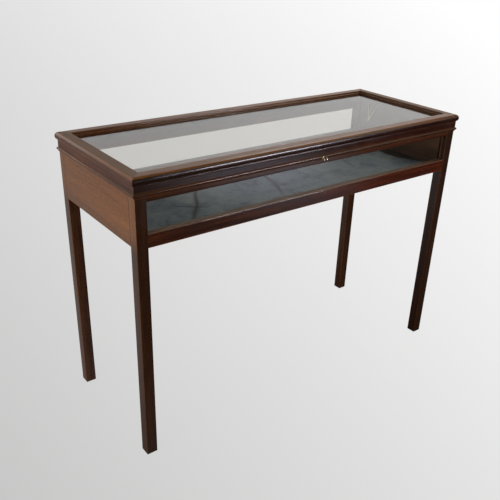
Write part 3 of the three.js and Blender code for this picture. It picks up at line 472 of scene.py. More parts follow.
# puts a shell into the scene: doubles merged, faces turned outwards, smooth between sharp edges
def placePiece(shell, body, finish, replaced, sharp=32, doubles=0.002):
    mesh = bpy.data.meshes.new(shell["name"])
    mesh.from_pydata((shell["points"] * mm).tolist(), [], shell["faces"])
    mesh.attributes.new("wearAndPaintedLight", "FLOAT", "POINT").data.foreach_set("value", shell["wear"])
    work = bmesh.new()
    work.from_mesh(mesh)
    bmesh.ops.remove_doubles(work, verts=work.verts, dist=doubles * mm)
    bmesh.ops.dissolve_degenerate(work, edges=work.edges, dist=doubles * mm / 4)
    bmesh.ops.recalc_face_normals(work, faces=work.faces)
    work.to_mesh(mesh)
    work.free()
    mesh.polygons.foreach_set("use_smooth", np.ones(len(mesh.polygons), bool))
    mesh.set_sharp_from_angle(angle=math.radians(sharp))
    mesh.materials.append(finishes[finish])
    piece = bpy.data.objects.new(shell["name"], mesh)
    bpy.context.scene.collection.objects.link(piece)
    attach(piece, body)
    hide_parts(replaced)
    return piece


# sets outlines across an axis (0, 1 or 2) at places along it; flip mirrors an outline's directions
def setAlong(axis, stations, flip=(1, 1)):
    return [np.insert(np.asarray(outline) * flip, axis, place, axis=1) for place, outline in stations]


# stations from -end to end, whole but for the recesses, each (middle, half its length)
def withCuts(whole, cut=None, recesses=(), end=1):
    stations = [(-end, whole)]
    for middle, half in recesses:
        start, stop = middle - half, middle + half
        stations += [(start, whole), (start, cut), (stop, cut), (stop, whole)]
    return stations + [(end, whole)]


# points of an elliptical arc about (u, v), with its angles in quarter turns
def arc(u, v, radiusU, radiusV, start, end, steps=8):
    angle = np.linspace(start, end, steps + 1) * math.pi / 2
    return np.stack([u + radiusU * np.cos(angle), v + radiusV * np.sin(angle)], 1)


# how worn each point of a closed outline is: the turn of the outline there, plus where it
# stands out and minus where it is a hollow, spread over a few millimetres on both sides
def wearOf(outline, reachMm=1.3):
    step = np.roll(outline, -1, axis=0) - outline
    length = np.linalg.norm(step, axis=1)
    heading = np.arctan2(step[:, 1], step[:, 0])
    turn = (heading - np.roll(heading, 1) + math.pi) % (2 * math.pi) - math.pi
    turn[(length < 1e-6) | (np.roll(length, 1) < 1e-6)] = 0
    area = np.sum(outline[:, 0] * np.roll(outline[:, 1], -1) - outline[:, 1] * np.roll(outline[:, 0], -1))
    place = np.concatenate([[0], np.cumsum(length)[:-1]])
    gap = abs(place[:, None] - place[None])
    gap = np.minimum(gap, length.sum() - gap)
    return np.clip((np.exp(-(gap / reachMm) ** 2) @ turn) * np.sign(area) / (math.pi / 2), -1, 1)


# adds points along the long straight stretches of an outline, so that wear fades near the edges
def finer(outline, nearMm=(0.8, 2.0, 4.0)):
    ahead = np.roll(outline, -1, axis=0)
    length = np.linalg.norm(ahead - outline, axis=1)
    pieces = []
    for here, there, far in zip(outline, ahead, length):
        shares = [0.0]
        if far > 2.5 * nearMm[-1]:
            shares += [near / far for near in nearMm] + [1 - near / far for near in nearMm[::-1]]
        pieces.append(here + np.outer(shares, there - here))
    return np.vstack(pieces)


# the sides and hands that pieces come in, each with its sign along Y or X
depths = (("front", -1), ("back", 1))
hands = (("left", -1), ("right", 1))
fit = 0.3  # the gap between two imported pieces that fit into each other

# Case: the faces, heights and rebates of its frame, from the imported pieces, and its arrises
legBox, railBox, upperRailBox, paneBox, boardBox, endBox = (boxOf(name) for name in (
    "leg_back_right", "bottom_rail_back", "top_rail_back", "glass_back", "base_board", "end_panel_right"))
case = {
    "faceX": legBox[1, 0], "faceY": legBox[1, 1], "legX": legBox[0, 0], "legY": legBox[0, 1],
    "underside": railBox[0, 2], "railTop": railBox[1, 2], "railInner": railBox[0, 1],
    "railUnder": upperRailBox[0, 2], "top": upperRailBox[1, 2], "panelInner": endBox[0, 0],
    "paneFace": paneBox[1, 1] + fit, "rebateX": paneBox[1, 0] + fit, "rebateLow": paneBox[0, 2] - fit,
    "rebateHigh": paneBox[1, 2] + fit, "boardX": boardBox[1, 0] + fit, "boardY": boardBox[1, 1] + fit,
    "boardTop": boardBox[1, 2] + fit, "legArris": 1.6, "arris": 2.2, "ledgeArris": 3.0, "softArris": 0.7,
}
quarterTurns = {"front": 0, "right": 1, "back": 2, "left": 3}

# Butt hinges: the place of the pin, the leaf and its knuckles, and the screws
pinBox, leafBox = boxOf("hinge_pin_right"), boxOf("hinge_lid_leaf_right")
middleX, pinY, pinZ = pinBox.mean(axis=0)
hinge = {
    "middles": {"left": -middleX, "right": middleX}, "axisY": pinY, "axisZ": pinZ,
    "half": (pinBox[1, 0] - pinBox[0, 0]) / 2, "width": 15, "leaf": 1.5, "offset": 0.3, "barrel": 3,
    "relief": 3.5, "knuckles": 5, "gap": 0.3, "soft": 0.2, "chamfer": 0.3, "clear": 0.5,
    "screwPitch": 15, "screwInset": 8.5, "screwRadius": 2.6, "screwSunk": 0.08,
}


# the recesses for the hinges, with room round them, in one of four lengths: only the back has them
def hingeCuts(side="back", room=hinge["clear"]):
    return [(x, hinge["half"] + room) for x in hinge["middles"].values()] if side == "back" else []


# One of four mitred lengths. An outline point is (distance beyond the case's face, height), a
# station is a place along the side, or -1 or 1 for an end, where the length is cut at 45 degrees.
def mitredLength(name, side, stations, endGap=0.21, rubbed=None):
    half, base = case["faceX"], case["faceY"]
    if side in ("left", "right"):
        half, base = base, half
    wear = wearOf(stations[0][1])
    if rubbed is not None:
        wear = rubbed(stations[0][1], wear)
    rings = []
    for place, outline in stations:
        beyond, height = outline.T
        along = place * (half + beyond - endGap) if abs(place) == 1 else np.full(len(outline), float(place))
        rings.append(np.stack([along, -(base + beyond), height], 1))
    turn = quarterTurns[side] * math.pi / 2
    spin = np.array([[math.cos(turn), math.sin(turn), 0], [-math.sin(turn), math.cos(turn), 0], [0, 0, 1]])
    return carried(name, np.array(rings) @ spin, wear=wear)


# Legs: a square with rounded arrises carried up from a rubbed foot; beside the panes the inner
# corner is cut back to a step, so at those heights the stations are doubled
def legShell(name, sideX, sideY, size=case):
    x0, x1, y0, y1 = size["legX"], size["faceX"], size["legY"], size["faceY"]
    r = size["legArris"]
    corner = arc(x0 + r, y0 + r, r, r, 3, 2)
    plain = np.vstack([
        [[x0, size["paneFace"]]], arc(x0 + r, y1 - r, r, r, 2, 1), arc(x1 - r, y1 - r, r, r, 1, 0),
        arc(x1 - r, y0 + r, r, r, 0, -1), [[size["rebateX"], y0]], corner,
    ])
    stepped = plain.copy()
    stepped[-len(corner):] = [size["rebateX"], size["paneFace"]]
    middle = np.array([(x0 + x1) / 2, (y0 + y1) / 2])
    foot = [(0, 1.2), (0.5, 0.4), (1.4, 0), (5, 0), (300, 0)]  # height, and how far the outline is drawn in
    stations = [(height, middle + (plain - middle) * (1 - inset / ((x1 - x0) / 2))) for height, inset in foot]
    stations += [(size["rebateLow"], plain), (size["rebateLow"], stepped), (size["rebateHigh"], stepped),
                 (size["rebateHigh"], plain), (size["top"], plain)]
    footWear = np.array([0.8, 0.5, 0.1] + [0] * (len(stations) - 3))[:, None]
    return carried(name, setAlong(2, stations, (sideX, sideY)), wear=np.maximum(wearOf(plain), footWear))


for depthName, sideY in depths:
    for sideName, sideX in hands:
        placePiece(legShell(f"squareLeg_{depthName}_{sideName}", sideX, sideY), "case",
                   "rearLegZ" if sideY > 0 else "legZ", f"leg_{depthName}_{sideName}")
say("legs")


# Bottom and top rails: an outline in (depth, height) carried along X between the legs
def bottomRailOutline(size=case):
    face, pane, inner = size["faceY"], size["paneFace"], size["railInner"]
    soft, r = size["softArris"], size["ledgeArris"]
    return finer(np.vstack([
        arc(face - soft, size["underside"] + soft, soft, soft, -1, 0, 5),
        arc(face - r, size["railTop"] - r, r, r, 0, 1, 10),
        arc(pane + soft / 2, size["railTop"] - soft / 2, soft / 2, soft / 2, 1, 2, 3),
        [[pane, size["rebateLow"]], [inner, size["rebateLow"]], [inner, size["boardTop"]],
         [size["boardY"], size["boardTop"]], [size["boardY"], size["underside"]]],
    ]))


# the top rail's outline; corner is the row of points along its top, from the face to the inside
def topRailOutline(corner, size=case):
    face, pane, inner = size["faceY"], size["paneFace"], size["railInner"]
    soft, r = size["softArris"], size["arris"]
    return np.vstack([
        arc(pane + soft / 2, size["railUnder"] + soft / 2, soft / 2, soft / 2, 2, 3, 3),
        arc(face - r, size["railUnder"] + r, r, r, -1, 0),
        corner, [[inner, size["rebateHigh"]], [pane, size["rebateHigh"]]],
    ])


# the lock's plate is 1.5 mm thick, and stands 6 mm beyond its case at either end
lockBox = boxOf("lock_case")
lockRecess = {"deep": fit - lockBox[0, 1], "plate": fit + 1.5 - lockBox[1, 1], "floor": lockBox[0, 2] - fit,
              "halfPlate": lockBox[1, 0] + fit, "halfCase": lockBox[1, 0] - 6 + fit}


# the front top rail is cut for the plate of the lock, and deeper for its case
def lockStations(cut=lockRecess, size=case):
    top, face, inner = size["top"], size["faceY"], size["railInner"]
    deep, plate, floor = cut["deep"], cut["plate"], cut["floor"]
    start = [[face, top], [deep, top]]
    whole = topRailOutline(start + [[plate, top], [inner, top], [inner, floor]])
    plated = topRailOutline(start + [[plate, top], [plate, floor], [inner, floor]])
    inlet = topRailOutline(start + [[deep, floor], [plate, floor], [inner, floor]])
    half = [(-size["legX"], whole), (-cut["halfPlate"], whole), (-cut["halfPlate"], plated),
            (-cut["halfCase"], plated), (-cut["halfCase"], inlet)]
    return half + [(-place, outline) for place, outline in half[::-1]]


# the back top rail is let in for the hinge leaves
def hingeStations(size=case):
    top, face, inner, cut = size["top"], size["faceY"], size["railInner"], leafBox[0, 1] - fit
    floor = hinge["axisZ"] - hinge["offset"] - hinge["leaf"] - fit
    whole = topRailOutline([[face, top], [cut, top], [cut, top], [inner, top]])
    let = topRailOutline([[face, floor], [cut, floor], [cut, top], [inner, top]])
    return withCuts(whole, let, hingeCuts(room=fit), size["legX"])


bottomStations = withCuts(bottomRailOutline(), end=case["legX"])
for (depthName, sideY), topStations in zip(depths, (lockStations(), hingeStations())):
    for level, stations, finish in (("bottom", bottomStations, "frontX"), ("top", topStations, "topRailX")):
        rings = setAlong(0, stations, (sideY, 1))
        rail = carried(f"{level}Rail_{depthName}", rings, wear=wearOf(stations[0][1]))
        placePiece(rail, "case", finish, f"{level}_rail_{depthName}")
say("rails")


# End panels: a board with a softened lower arris and the rebate for the base, carried along Y
# between the legs, with a few stations on the way so that its faces aren't slivers
def endShell(name, sideX, size=case):
    soft, low, high, boardX = size["softArris"], size["underside"], size["boardTop"], size["boardX"]
    outline = finer(np.vstack([
        arc(size["faceX"] - soft, low + soft, soft, soft, -1, 0, 5),
        [[size["faceX"], size["top"]], [size["panelInner"], size["top"]], [size["panelInner"], high],
         [boardX, high], [boardX, low]],
    ]))
    stations = [(y, outline) for y in (-size["legY"], -150, 0, 150, size["legY"])]
    return carried(name, setAlong(1, stations, (sideX, 1)), wear=wearOf(outline))


for sideName, sideX in hands:
    placePiece(endShell(f"endBoard_{sideName}", sideX), "case", "endY",
               f"end_panel_{sideName}")
say("end panels")


# Glazing beads: small square sticks with one arris rounded off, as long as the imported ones.
# The outline is a box between two corners whose corner at (u0, v1), or (u0, v0), is round.
def beadOutline(u0, u1, v0, v1, atTop=False, r=2.2):
    if atTop:
        return np.vstack([[[u0, v0], [u1, v0], [u1, v1]], arc(u0 + r, v1 - r, r, r, 1, 2)])
    return np.vstack([[[u1, v0], [u1, v1], [u0, v1]], arc(u0 + r, v0 + r, r, r, 2, 3)])


for depthName, sideY in depths:
    for kind in ("bottom", "top"):
        low, high = boxOf(f"glass_bead_back_{kind}")
        outline = beadOutline(low[1], high[1], low[2], high[2], kind == "bottom")
        rings = setAlong(0, [(low[0], outline), (high[0], outline)], (sideY, 1))
        placePiece(carried(f"paneBead_{depthName}_{kind}", rings, wear=wearOf(outline)), "case",
                   "frontX", f"glass_bead_{depthName}_{kind}")
    for kind, sideX in hands:
        low, high = boxOf("glass_bead_back_right")
        outline = beadOutline(low[1], high[1], low[0], high[0])
        rings = setAlong(2, [(low[2], outline[:, ::-1]), (high[2], outline[:, ::-1])], (sideX, sideY))
        placePiece(carried(f"paneBead_{depthName}_{kind}", rings, wear=wearOf(outline)), "case",
                   "beadZ", f"glass_bead_{depthName}_{kind}")
say("glazing beads")

# Lid rail: heights, and distances beyond the case's face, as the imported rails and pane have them
lidBox, lidGlassBox, linkBox = boxOf("lid_rail_back"), boxOf("lid_glass"), boxOf("link_plate")
lidTop = lidBox[1, 2]
lid = {
    "under": lidBox[0, 2], "top": lidTop, "noseProud": lidBox[1, 1] - case["faceY"], "noseZ": lidTop - 12.5,
    "neckProud": 1.35, "neckTop": lidTop - 23.6, "neckLow": 6, "quirkDeep": 0.7, "quirkHigh": 0.9,
    "filletProud": 2.3, "filletTop": lidTop - 21.4, "filletRound": 0.4, "flatFrom": -4, "softArris": 0.5,
    "sightArris": -28, "sightRound": 0.9, "sightEdge": lidBox[0, 1] - case["faceY"], "coveTop": lidTop - 3.5,
    "coveLow": lidTop - 7, "flatEdge": 3, "glassTop": lidGlassBox[1, 2] + fit,
    "rebate": lidGlassBox[1, 1] + fit - case["faceY"],
}


# from the underside up the front: neck, quirk, fillet with a round foot, two elliptical arcs for the
# nose, the flat top, and behind it the coved sight edge down to the rebate of the pane
def lidRailOutline(underside, size=lid):
    neck, nose, middle, neckTop = size["neckProud"], size["noseProud"], size["noseZ"], size["neckTop"]
    soft, r, small, fillet = size["softArris"], size["sightRound"], size["filletRound"], size["filletProud"]
    quirkTop = neckTop + size["quirkHigh"]
    return np.vstack([
        underside,
        [[neck, neckTop - size["neckLow"]], [neck, neckTop - 0.4], [neck - 0.15, neckTop],
         [neck - size["quirkDeep"], neckTop + size["quirkHigh"] / 2], [fillet - 0.5, quirkTop]],
        arc(fillet - small, quirkTop + small, small, small, -0.6, 0, 3),
        arc(fillet, middle, nose - fillet, middle - size["filletTop"], -1, 0, 14),
        arc(size["flatFrom"], middle, nose - size["flatFrom"], size["top"] - middle, 0, 1, 18)[1:],
        [[size["flatFrom"] - size["flatEdge"], size["top"]],
         [size["sightArris"] + size["flatEdge"], size["top"]]],
        arc(size["sightArris"] + r, size["top"] - r, r, r, 1, 2, 6),
        arc(size["sightEdge"], size["coveTop"], size["sightArris"] - size["sightEdge"],
            size["coveTop"] - size["coveLow"], 0, -1, 10),
        arc(size["sightEdge"] + soft, size["glassTop"] + soft, soft, soft, 2, 3, 3),
        [[size["rebate"], size["glassTop"]]],
    ])


# the underside whole and with its recess, and the recesses: for the link plate in front and the
# hinges behind. A recess runs from inner to outer, and what lies beyond it is cut up to edge.
def lidUndersides(side, size=lid):
    under, neck, rebate = size["under"], size["neckProud"], size["rebate"]
    if side == "front":
        inner, outer = (-fit, fit) - linkBox[::-1, 1] - case["faceY"]
        ceiling, edge = linkBox[1, 2] + fit, under
        recesses = [(0, linkBox[1, 0] + fit)]
    elif side == "back":
        inner, outer = leafBox[0, 1] - fit - case["faceY"], hinge["axisY"] - hinge["relief"] - case["faceY"]
        ceiling = hinge["axisZ"] + hinge["offset"] + hinge["leaf"] + fit
        edge = leafBox[1, 2] + hinge["clear"]
        recesses = hingeCuts()
    else:
        plain = [[rebate, under], [neck, under]]
        return plain, plain, []
    whole = [[x, under] for x in (rebate, inner, inner, outer, outer, neck)]
    cut = [[rebate, under], [inner, under], [inner, ceiling], [outer, ceiling], [outer, edge], [neck, edge]]
    return whole, cut, recesses


# hands and dusters rub the lid most along its top arris, and a little in the coved sight edge; both are
# also painted light, where the rounded nose and the cove turn up to the light:
# wear = 0.95 * exp(-((height - arris) / 2.2)^2) in front, 0.42 in the cove, and a third of the
# usual wear below the nose, where nothing rubs
def lidWearAndPaintedLight(outline, wear, size=lid):
    out, height = outline.T
    arris = 0.95 * np.exp(-((height - size["top"] + 2.4) / 2.2) ** 2) * (out > 0)
    cove = 0.42 * ((out <= size["sightArris"] + 0.1) & (height > size["coveLow"] - 0.1))
    return np.maximum(np.maximum(arris, cove), wear * np.where(height < size["noseZ"], 0.33, 1))


for side in quarterTurns:
    whole, cut, recesses = lidUndersides(side)
    stations = withCuts(lidRailOutline(whole), lidRailOutline(cut), recesses)
    placePiece(mitredLength(f"lidMoulding_{side}", side, stations, rubbed=lidWearAndPaintedLight), "lid",
               "lidY" if side in ("left", "right") else "lidX", f"lid_rail_{side}", sharp=38)
say("lid mouldings")

# Astragal: a half round between two fillets and their quirks, from the case's face outwards
astragalBox = boxOf("astragal_back")
astragal = {
    "bottom": astragalBox[0, 2], "top": astragalBox[1, 2], "proud": astragalBox[1, 1] - case["faceY"],
    "radius": 4.3, "middle": astragalBox[1, 2] - 5.9, "filletProud": 1.9, "filletRound": 0.4, "quirk": 0.8,
    "quirkDeep": 0.6, "notchFloor": leafBox[0, 2] - hinge["clear"],
}


# from the bottom up: the lower fillet, a quirk, half an ellipse, a quirk, and the neck of the lid
def astragalOutline(size=astragal, neck=lid["neckProud"]):
    bottom, top, middle, r = size["bottom"], size["top"], size["middle"], size["radius"]
    fillet, small, quirk = size["filletProud"], size["filletRound"], size["quirk"]
    deep = neck - size["quirkDeep"]
    return np.vstack([
        [[0, bottom]], arc(fillet - small, bottom + small, small, small, -1, 0, 3),
        [[fillet, middle - r - quirk], [deep, middle - r - quirk / 2]],
        arc(neck, middle, size["proud"] - neck, r, -1, 1, 22),
        [[deep, middle + r + quirk / 4], [neck, middle + r + quirk / 2], [neck, top], [0, top]],
    ])


outline = astragalOutline()
notched = np.column_stack([outline[:, 0], np.minimum(outline[:, 1], astragal["notchFloor"])])
for side in quarterTurns:
    length = mitredLength(f"astragalBead_{side}", side, withCuts(outline, notched, hingeCuts(side)))
    placePiece(length, "case", "lidY" if side in ("left", "right") else "frameX",
               f"astragal_{side}", sharp=38)

# Beads under the lid's pane, mitred, with the lower inner arris rounded
lidBeadBox = boxOf("lid_bead_back")
inner, outer = lidBeadBox[:, 1] - case["faceY"]
outline = beadOutline(inner, outer, lidBeadBox[0, 2], lidBeadBox[1, 2])
for side in quarterTurns:
    placePiece(mitredLength(f"lidBead_{side}", side, withCuts(outline)), "lid",
               "frameY" if side in ("left", "right") else "frameX", f"lid_bead_{side}")
say("astragals and lid beads")


# A turned piece: a row of (place along the axis, radius), carried round the axis. way is the
# axis (0, 1 or 2), centre a point on it, and sense turns the row the other way along.
def turned(name, row, way, centre, sense=1, steps=28, wear=0.3):
    along, radius = np.asarray(row, float).T
    angle = np.linspace(0, 2 * math.pi, steps, endpoint=False)
    rings = np.zeros((len(row), steps, 3))
    rings[:, :, way] = sense * along[:, None]
    rings[:, :, (way + 1) % 3] = radius[:, None] * np.cos(angle)
    rings[:, :, (way + 2) % 3] = radius[:, None] * np.sin(angle)
    return carried(name, rings + np.asarray(centre, float), wear=wear)


# A slotted head: columns across a disc, each one a loop over the domed top and back under the
# head. height = dome * (1 - (r / radius)^2), less the slot's depth between its two edges.
def slottedHead(name, radius, way, centre, sense=1, thick=0.9, dome=0.18, angle=0.6, slotHalf=0.32,
                slotDeep=0.45):
    across = radius * np.sin(np.linspace(-1, 1, 21) * math.pi / 2)
    edges = [-slotHalf, -slotHalf, slotHalf, slotHalf]
    across = np.sort(np.concatenate([across[abs(across) > slotHalf * 1.3], edges]))
    inSlot = np.zeros(len(across), bool)
    middle = len(across) // 2
    inSlot[middle - 1:middle + 1] = True
    share = np.sin(np.linspace(-1, 1, 15) * math.pi / 2)
    reach = np.sqrt(np.maximum(radius ** 2 - across ** 2, 0))[:, None]
    v = share[None] * reach
    rise = dome * (1 - (across[:, None] ** 2 + v ** 2) / radius ** 2) - np.where(inSlot, slotDeep, 0)[:, None]
    top = np.stack([np.broadcast_to(across[:, None], v.shape), v, rise], -1)
    under = np.stack([top[:, ::-1, 0], top[:, ::-1, 1], np.full(v.shape, -thick)], -1)
    loops = np.concatenate([top, under], 1)
    c, s = math.cos(angle), math.sin(angle)
    rings = np.zeros(loops.shape)
    rings[..., way] = sense * loops[..., 2]
    rings[..., (way + 1) % 3] = loops[..., 0] * c - loops[..., 1] * s
    rings[..., (way + 2) % 3] = loops[..., 0] * s + loops[..., 1] * c
    return carried(name, rings + np.asarray(centre, float), wear=0.3)


# a hinge leaf with softened edges, whose outer edge reaches the pin at its own knuckles, and
# those knuckles as turned barrels; level is -1 for the case's leaf and 1 for the lid's
def hingeLeaf(name, middle, level, size=hinge):
    half, width, soft, r, cut = (size[key] for key in ("half", "width", "soft", "barrel", "chamfer"))
    pitch = 2 * half / size["knuckles"]
    near, far = size["offset"] * level, (size["offset"] + size["leaf"]) * level

    def outline(edge):
        flat = [[-width, near], [-width + soft, near], [edge, near], [edge, far], [-width + soft, far],
                [-width, far - soft * level]]
        return np.array(flat) + [size["axisY"], size["axisZ"]]

    short, long = outline(-size["relief"]), outline(0)
    stations, barrels = [(-half, short)], []
    for i in range(0 if level < 0 else 1, size["knuckles"], 2):
        x0 = -half + i * pitch + size["gap"] / 2
        x1 = x0 + pitch - size["gap"]
        stations += [(x0, short), (x0, long), (x1, long), (x1, short)]
        row = [(x0, 0), (x0, r - cut), (x0 + cut, r), (x1 - cut, r), (x1, r - cut), (x1, 0)]
        barrels.append(turned("knuckle", row, 0, (middle, size["axisY"], size["axisZ"])))
    stations.append((half, short))
    leaf = setAlong(0, [(middle + x, flat) for x, flat in stations])
    return together(carried(name, leaf, wear=0.1), *barrels)


# no two slots stand at the same angle
for sideName, middle in hinge["middles"].items():
    for leafName, level in (("case", -1), ("lid", 1)):
        placePiece(hingeLeaf(f"hingeLeaf_{leafName}_{sideName}", middle, level), leafName,
                   "brass", f"hinge_{leafName}_leaf_{sideName}")
        for number, side in ((1, -1), (2, 1)):
            place = (middle + side * hinge["screwPitch"], hinge["axisY"] - hinge["screwInset"],
                     hinge["axisZ"] + level * (hinge["offset"] - hinge["screwSunk"]))
            ending = f"{leafName}_{sideName}_{number}"
            head = slottedHead(f"hingeScrew_{ending}", hinge["screwRadius"], 2, place, -level, dome=0.04,
                               angle=0.4 + 1.3 * number + level + middle / 500)
            placePiece(head, leafName, "brass", f"hinge_screw_{ending}")
for sideName, sideX in hands:
    low, high = boxOf(f"lock_screw_{sideName}")
    x, _, z = (low + high) / 2
    place = (x, high[1] + 0.04, z)
    head = slottedHead(f"lockScrew_{sideName}", 1.95, 1, place, dome=0.05, angle=0.9 + x / 40)
    placePiece(head, "case", "brass", f"lock_screw_{sideName}")
say("hinges and screws")

# Key: an oval ring bow, a turned collar and shank, and a flat bit with a ward cut in it
keyBox = boxOf("key")
key = {"z": keyBox[:, 2].mean(), "bowFront": keyBox[0, 1], "ringY": 5.9, "ringZ": 6.9, "bar": 2.7,
       "thick": 2.4, "bitY": (-215.2, -209.3), "bitLow": 803.4, "bitHalf": 0.8, "ward": 1.3,
       "shank": [(-237, 0), (-237, 2.2), (-236.7, 2.75), (-236.2, 2.9), (-235.7, 2.75), (-235.4, 2.2),
                 (-235.2, 1.9), (-234.6, 1.65), (-234.2, 1.9), (-208.2, 1.9), (-207.8, 1.6), (-207.6, 1.3),
                 (-206.1, 1.3), (-205.8, 1.0), (-205.8, 0)]}


# the bow: a section with softened corners carried round an ellipse;
# half width = |cos|^0.75 * bar / 2 and half thickness = |sin|^0.75 * thick / 2
def bowShell(name, size=key, steps=48, around=16, square=0.75):
    path = np.linspace(0, 2 * math.pi, steps, endpoint=False)[:, None]
    turn = np.linspace(0, 2 * math.pi, around, endpoint=False)[None]
    wide = np.sign(np.cos(turn)) * abs(np.cos(turn)) ** square * size["bar"] / 2
    thick = np.sign(np.sin(turn)) * abs(np.sin(turn)) ** square * size["thick"] / 2
    y = size["bowFront"] + size["ringY"] + size["bar"] / 2 + np.cos(path) * (size["ringY"] + wide)
    z = size["z"] + np.sin(path) * (size["ringZ"] + wide)
    return carried(name, np.stack([np.broadcast_to(thick, y.shape), y, z], -1), closed=True, wear=0.4)


# the whole key: its bow, its shank turned from the row of (place, radius), and its flat bit
def keyShell(size=key):
    shank = turned("shank", size["shank"], 1, (0, 0, size["z"]), steps=24)
    (y0, y1), low, half = size["bitY"], size["bitLow"], size["bitHalf"]
    warded = low + size["ward"]
    outline = [[y0, low + 0.4], [y0 + 0.3, low], [y0 + 2.2, low], [y0 + 2.2, warded], [y0 + 3.3, warded],
               [y0 + 3.3, low], [y1 - 0.3, low], [y1, low + 0.4], [y1, size["z"]], [y0, size["z"]]]
    bit = carried("bit", setAlong(0, [(-half, outline), (half, outline)]), wear=0.2)
    return together(bowShell("ovalKey"), shank, bit)


placePiece(keyShell(), "key", "iron", "key")


# Escutcheon: rings from the keyhole's outline out to a softened rim. The keyhole's edge at an
# angle is the round part's radius, or the slot's edge where that lies further out.
def escutcheonShell(name, steps=72, hole=2.3, slotHalf=1.2, slotLow=5.0):
    low, high = boxOf("escutcheon")
    rim, face, back = high[0], low[1], high[1]
    angle = np.linspace(0, 2 * math.pi, steps, endpoint=False)
    across, down = abs(np.cos(angle)), -np.sin(angle)
    slot = np.minimum(slotHalf / np.maximum(across, 1e-3), slotLow / np.maximum(down, 1e-3))
    inner = np.maximum(hole, np.where(down > 0.05, slot, 0))
    # share of the way out to the rim, and the place along Y
    rows = [(0, back), (0, face + 0.5), (0.04, face + 0.25), (0.12, face + 0.1), (0.4, face),
            (0.7, face + 0.12), (0.9, face + 0.4), (0.98, face + 0.8), (1, face + 1.2), (1, back)]
    rings = []
    for share, y in rows:
        radius = inner + (rim - inner) * share
        z = (low[2] + high[2]) / 2 + radius * np.sin(angle)
        rings.append(np.stack([radius * np.cos(angle), np.full(steps, y), z], 1))
    return carried(name, rings, closed=True, wear=0.3)


placePiece(escutcheonShell("keyholePlate"), "case", "brass", "escutcheon")
say("key and escutcheon")

# Stay: two flat arms with round ends, softened along their edges, domed rivets at the elbow, and a
# screw at each pivot, the case's with a shoulder; the screws run back to the lid's rebate and the end panel
stayThick = 1.6
stay = {"lidPivot": boxOf("stay_screw_lid")[:, 1:].mean(axis=0), "elbow": (147, 754),
        "casePivot": boxOf("stay_screw_case")[:, 1:].mean(axis=0), "half": 2.8, "soft": 0.35,
        "upperX": boxOf("stay_arm_upper")[1, 0] - stayThick, "lowerX": boxOf("stay_arm_lower")[0, 0],
        "thick": stayThick, "head": 2.4, "headThick": 0.3, "neck": 1.15, "neckLong": 1.9, "shoulder": 2.2}


# a flat arm: at each place along it the section is a rounded box as wide as the arm is there,
# half width = sqrt(half^2 - (distance past the pivot)^2) beyond each pivot
def armShell(name, start, end, x, size=stay):
    start, end = np.array(start, float), np.array(end, float)
    length = np.linalg.norm(end - start)
    way = (end - start) / length
    side = np.array([-way[1], way[0]])
    r, soft, thick = size["half"], size["soft"], size["thick"]
    past = r * np.sin(np.linspace(1, 0, 9) * math.pi / 2)
    along = np.concatenate([-past, np.linspace(0, length, 8)[1:-1], length + past[::-1]])
    beyond = np.maximum(np.maximum(-along, along - length), 0)
    half = np.sqrt(np.maximum(r ** 2 - beyond ** 2, 0))
    corners = np.vstack([arc(thick - soft, 1, soft, soft, 0, 1, 3), arc(soft, 1, soft, soft, 1, 2, 3),
                         arc(soft, -1, soft, soft, 2, 3, 3), arc(thick - soft, -1, soft, soft, 3, 4, 3)])
    level = np.sign(corners[:, 1])
    outward = level[None] * np.maximum(half[:, None] - soft, 0)
    across = outward + (corners[:, 1] - level)[None] * np.minimum(half / r, 1)[:, None]
    flat = start + along[:, None, None] * way + across[..., None] * side
    rings = np.concatenate([np.broadcast_to(x + corners[:, 0], across.shape)[..., None], flat], -1)
    return carried(name, rings, wear=0.2)


# a rivet's head, turned from shares of its thickness and its radius
def domedRivet(x, sense, radius=2.4, thick=0.8):
    shares = [(0, 0), (0, 1), (0.25, 0.98), (0.6, 0.82), (0.88, 0.5), (1, 0.2), (1, 0)]
    row = [(thick * high, radius * wide) for high, wide in shares]
    return turned("rivet", row, 0, (x, *stay["elbow"]), sense, steps=24)


for name, pivot, sense in (("lower", stay["casePivot"], 1), ("upper", stay["lidPivot"], -1)):
    x = stay[f"{name}X"]
    rivet = domedRivet(x + stay["thick"] if sense == 1 else x, sense)
    arm = together(armShell(f"stayArm{name.title()}", pivot, stay["elbow"], x), rivet)
    placePiece(arm, f"stay_{name}", "stayBrass", f"stay_arm_{name}")
for name, x, wall in (("case", stay["lowerX"], case["panelInner"]),
                      ("lid", stay["upperX"], case["faceX"] + lid["rebate"])):
    place, neck, shoulder = stay[f"{name}Pivot"], stay["neck"], stay["shoulder"]
    start, step = x - 0.4, x + stay["neckLong"]
    head = slottedHead(f"stayScrew_{name}", stay["head"], 0, (x - 0.5, *place), -1, stay["headThick"], 0.3)
    reach = [(step, neck), (step, shoulder), (wall, shoulder)] if name == "case" else [(wall, neck)]
    stud = turned("stud", [(start, 0), (start, neck), *reach, (wall, 0)], 0, (0, *place), steps=20)
    placePiece(together(head, stud), name, "brass", f"stay_screw_{name}")
say("stay")
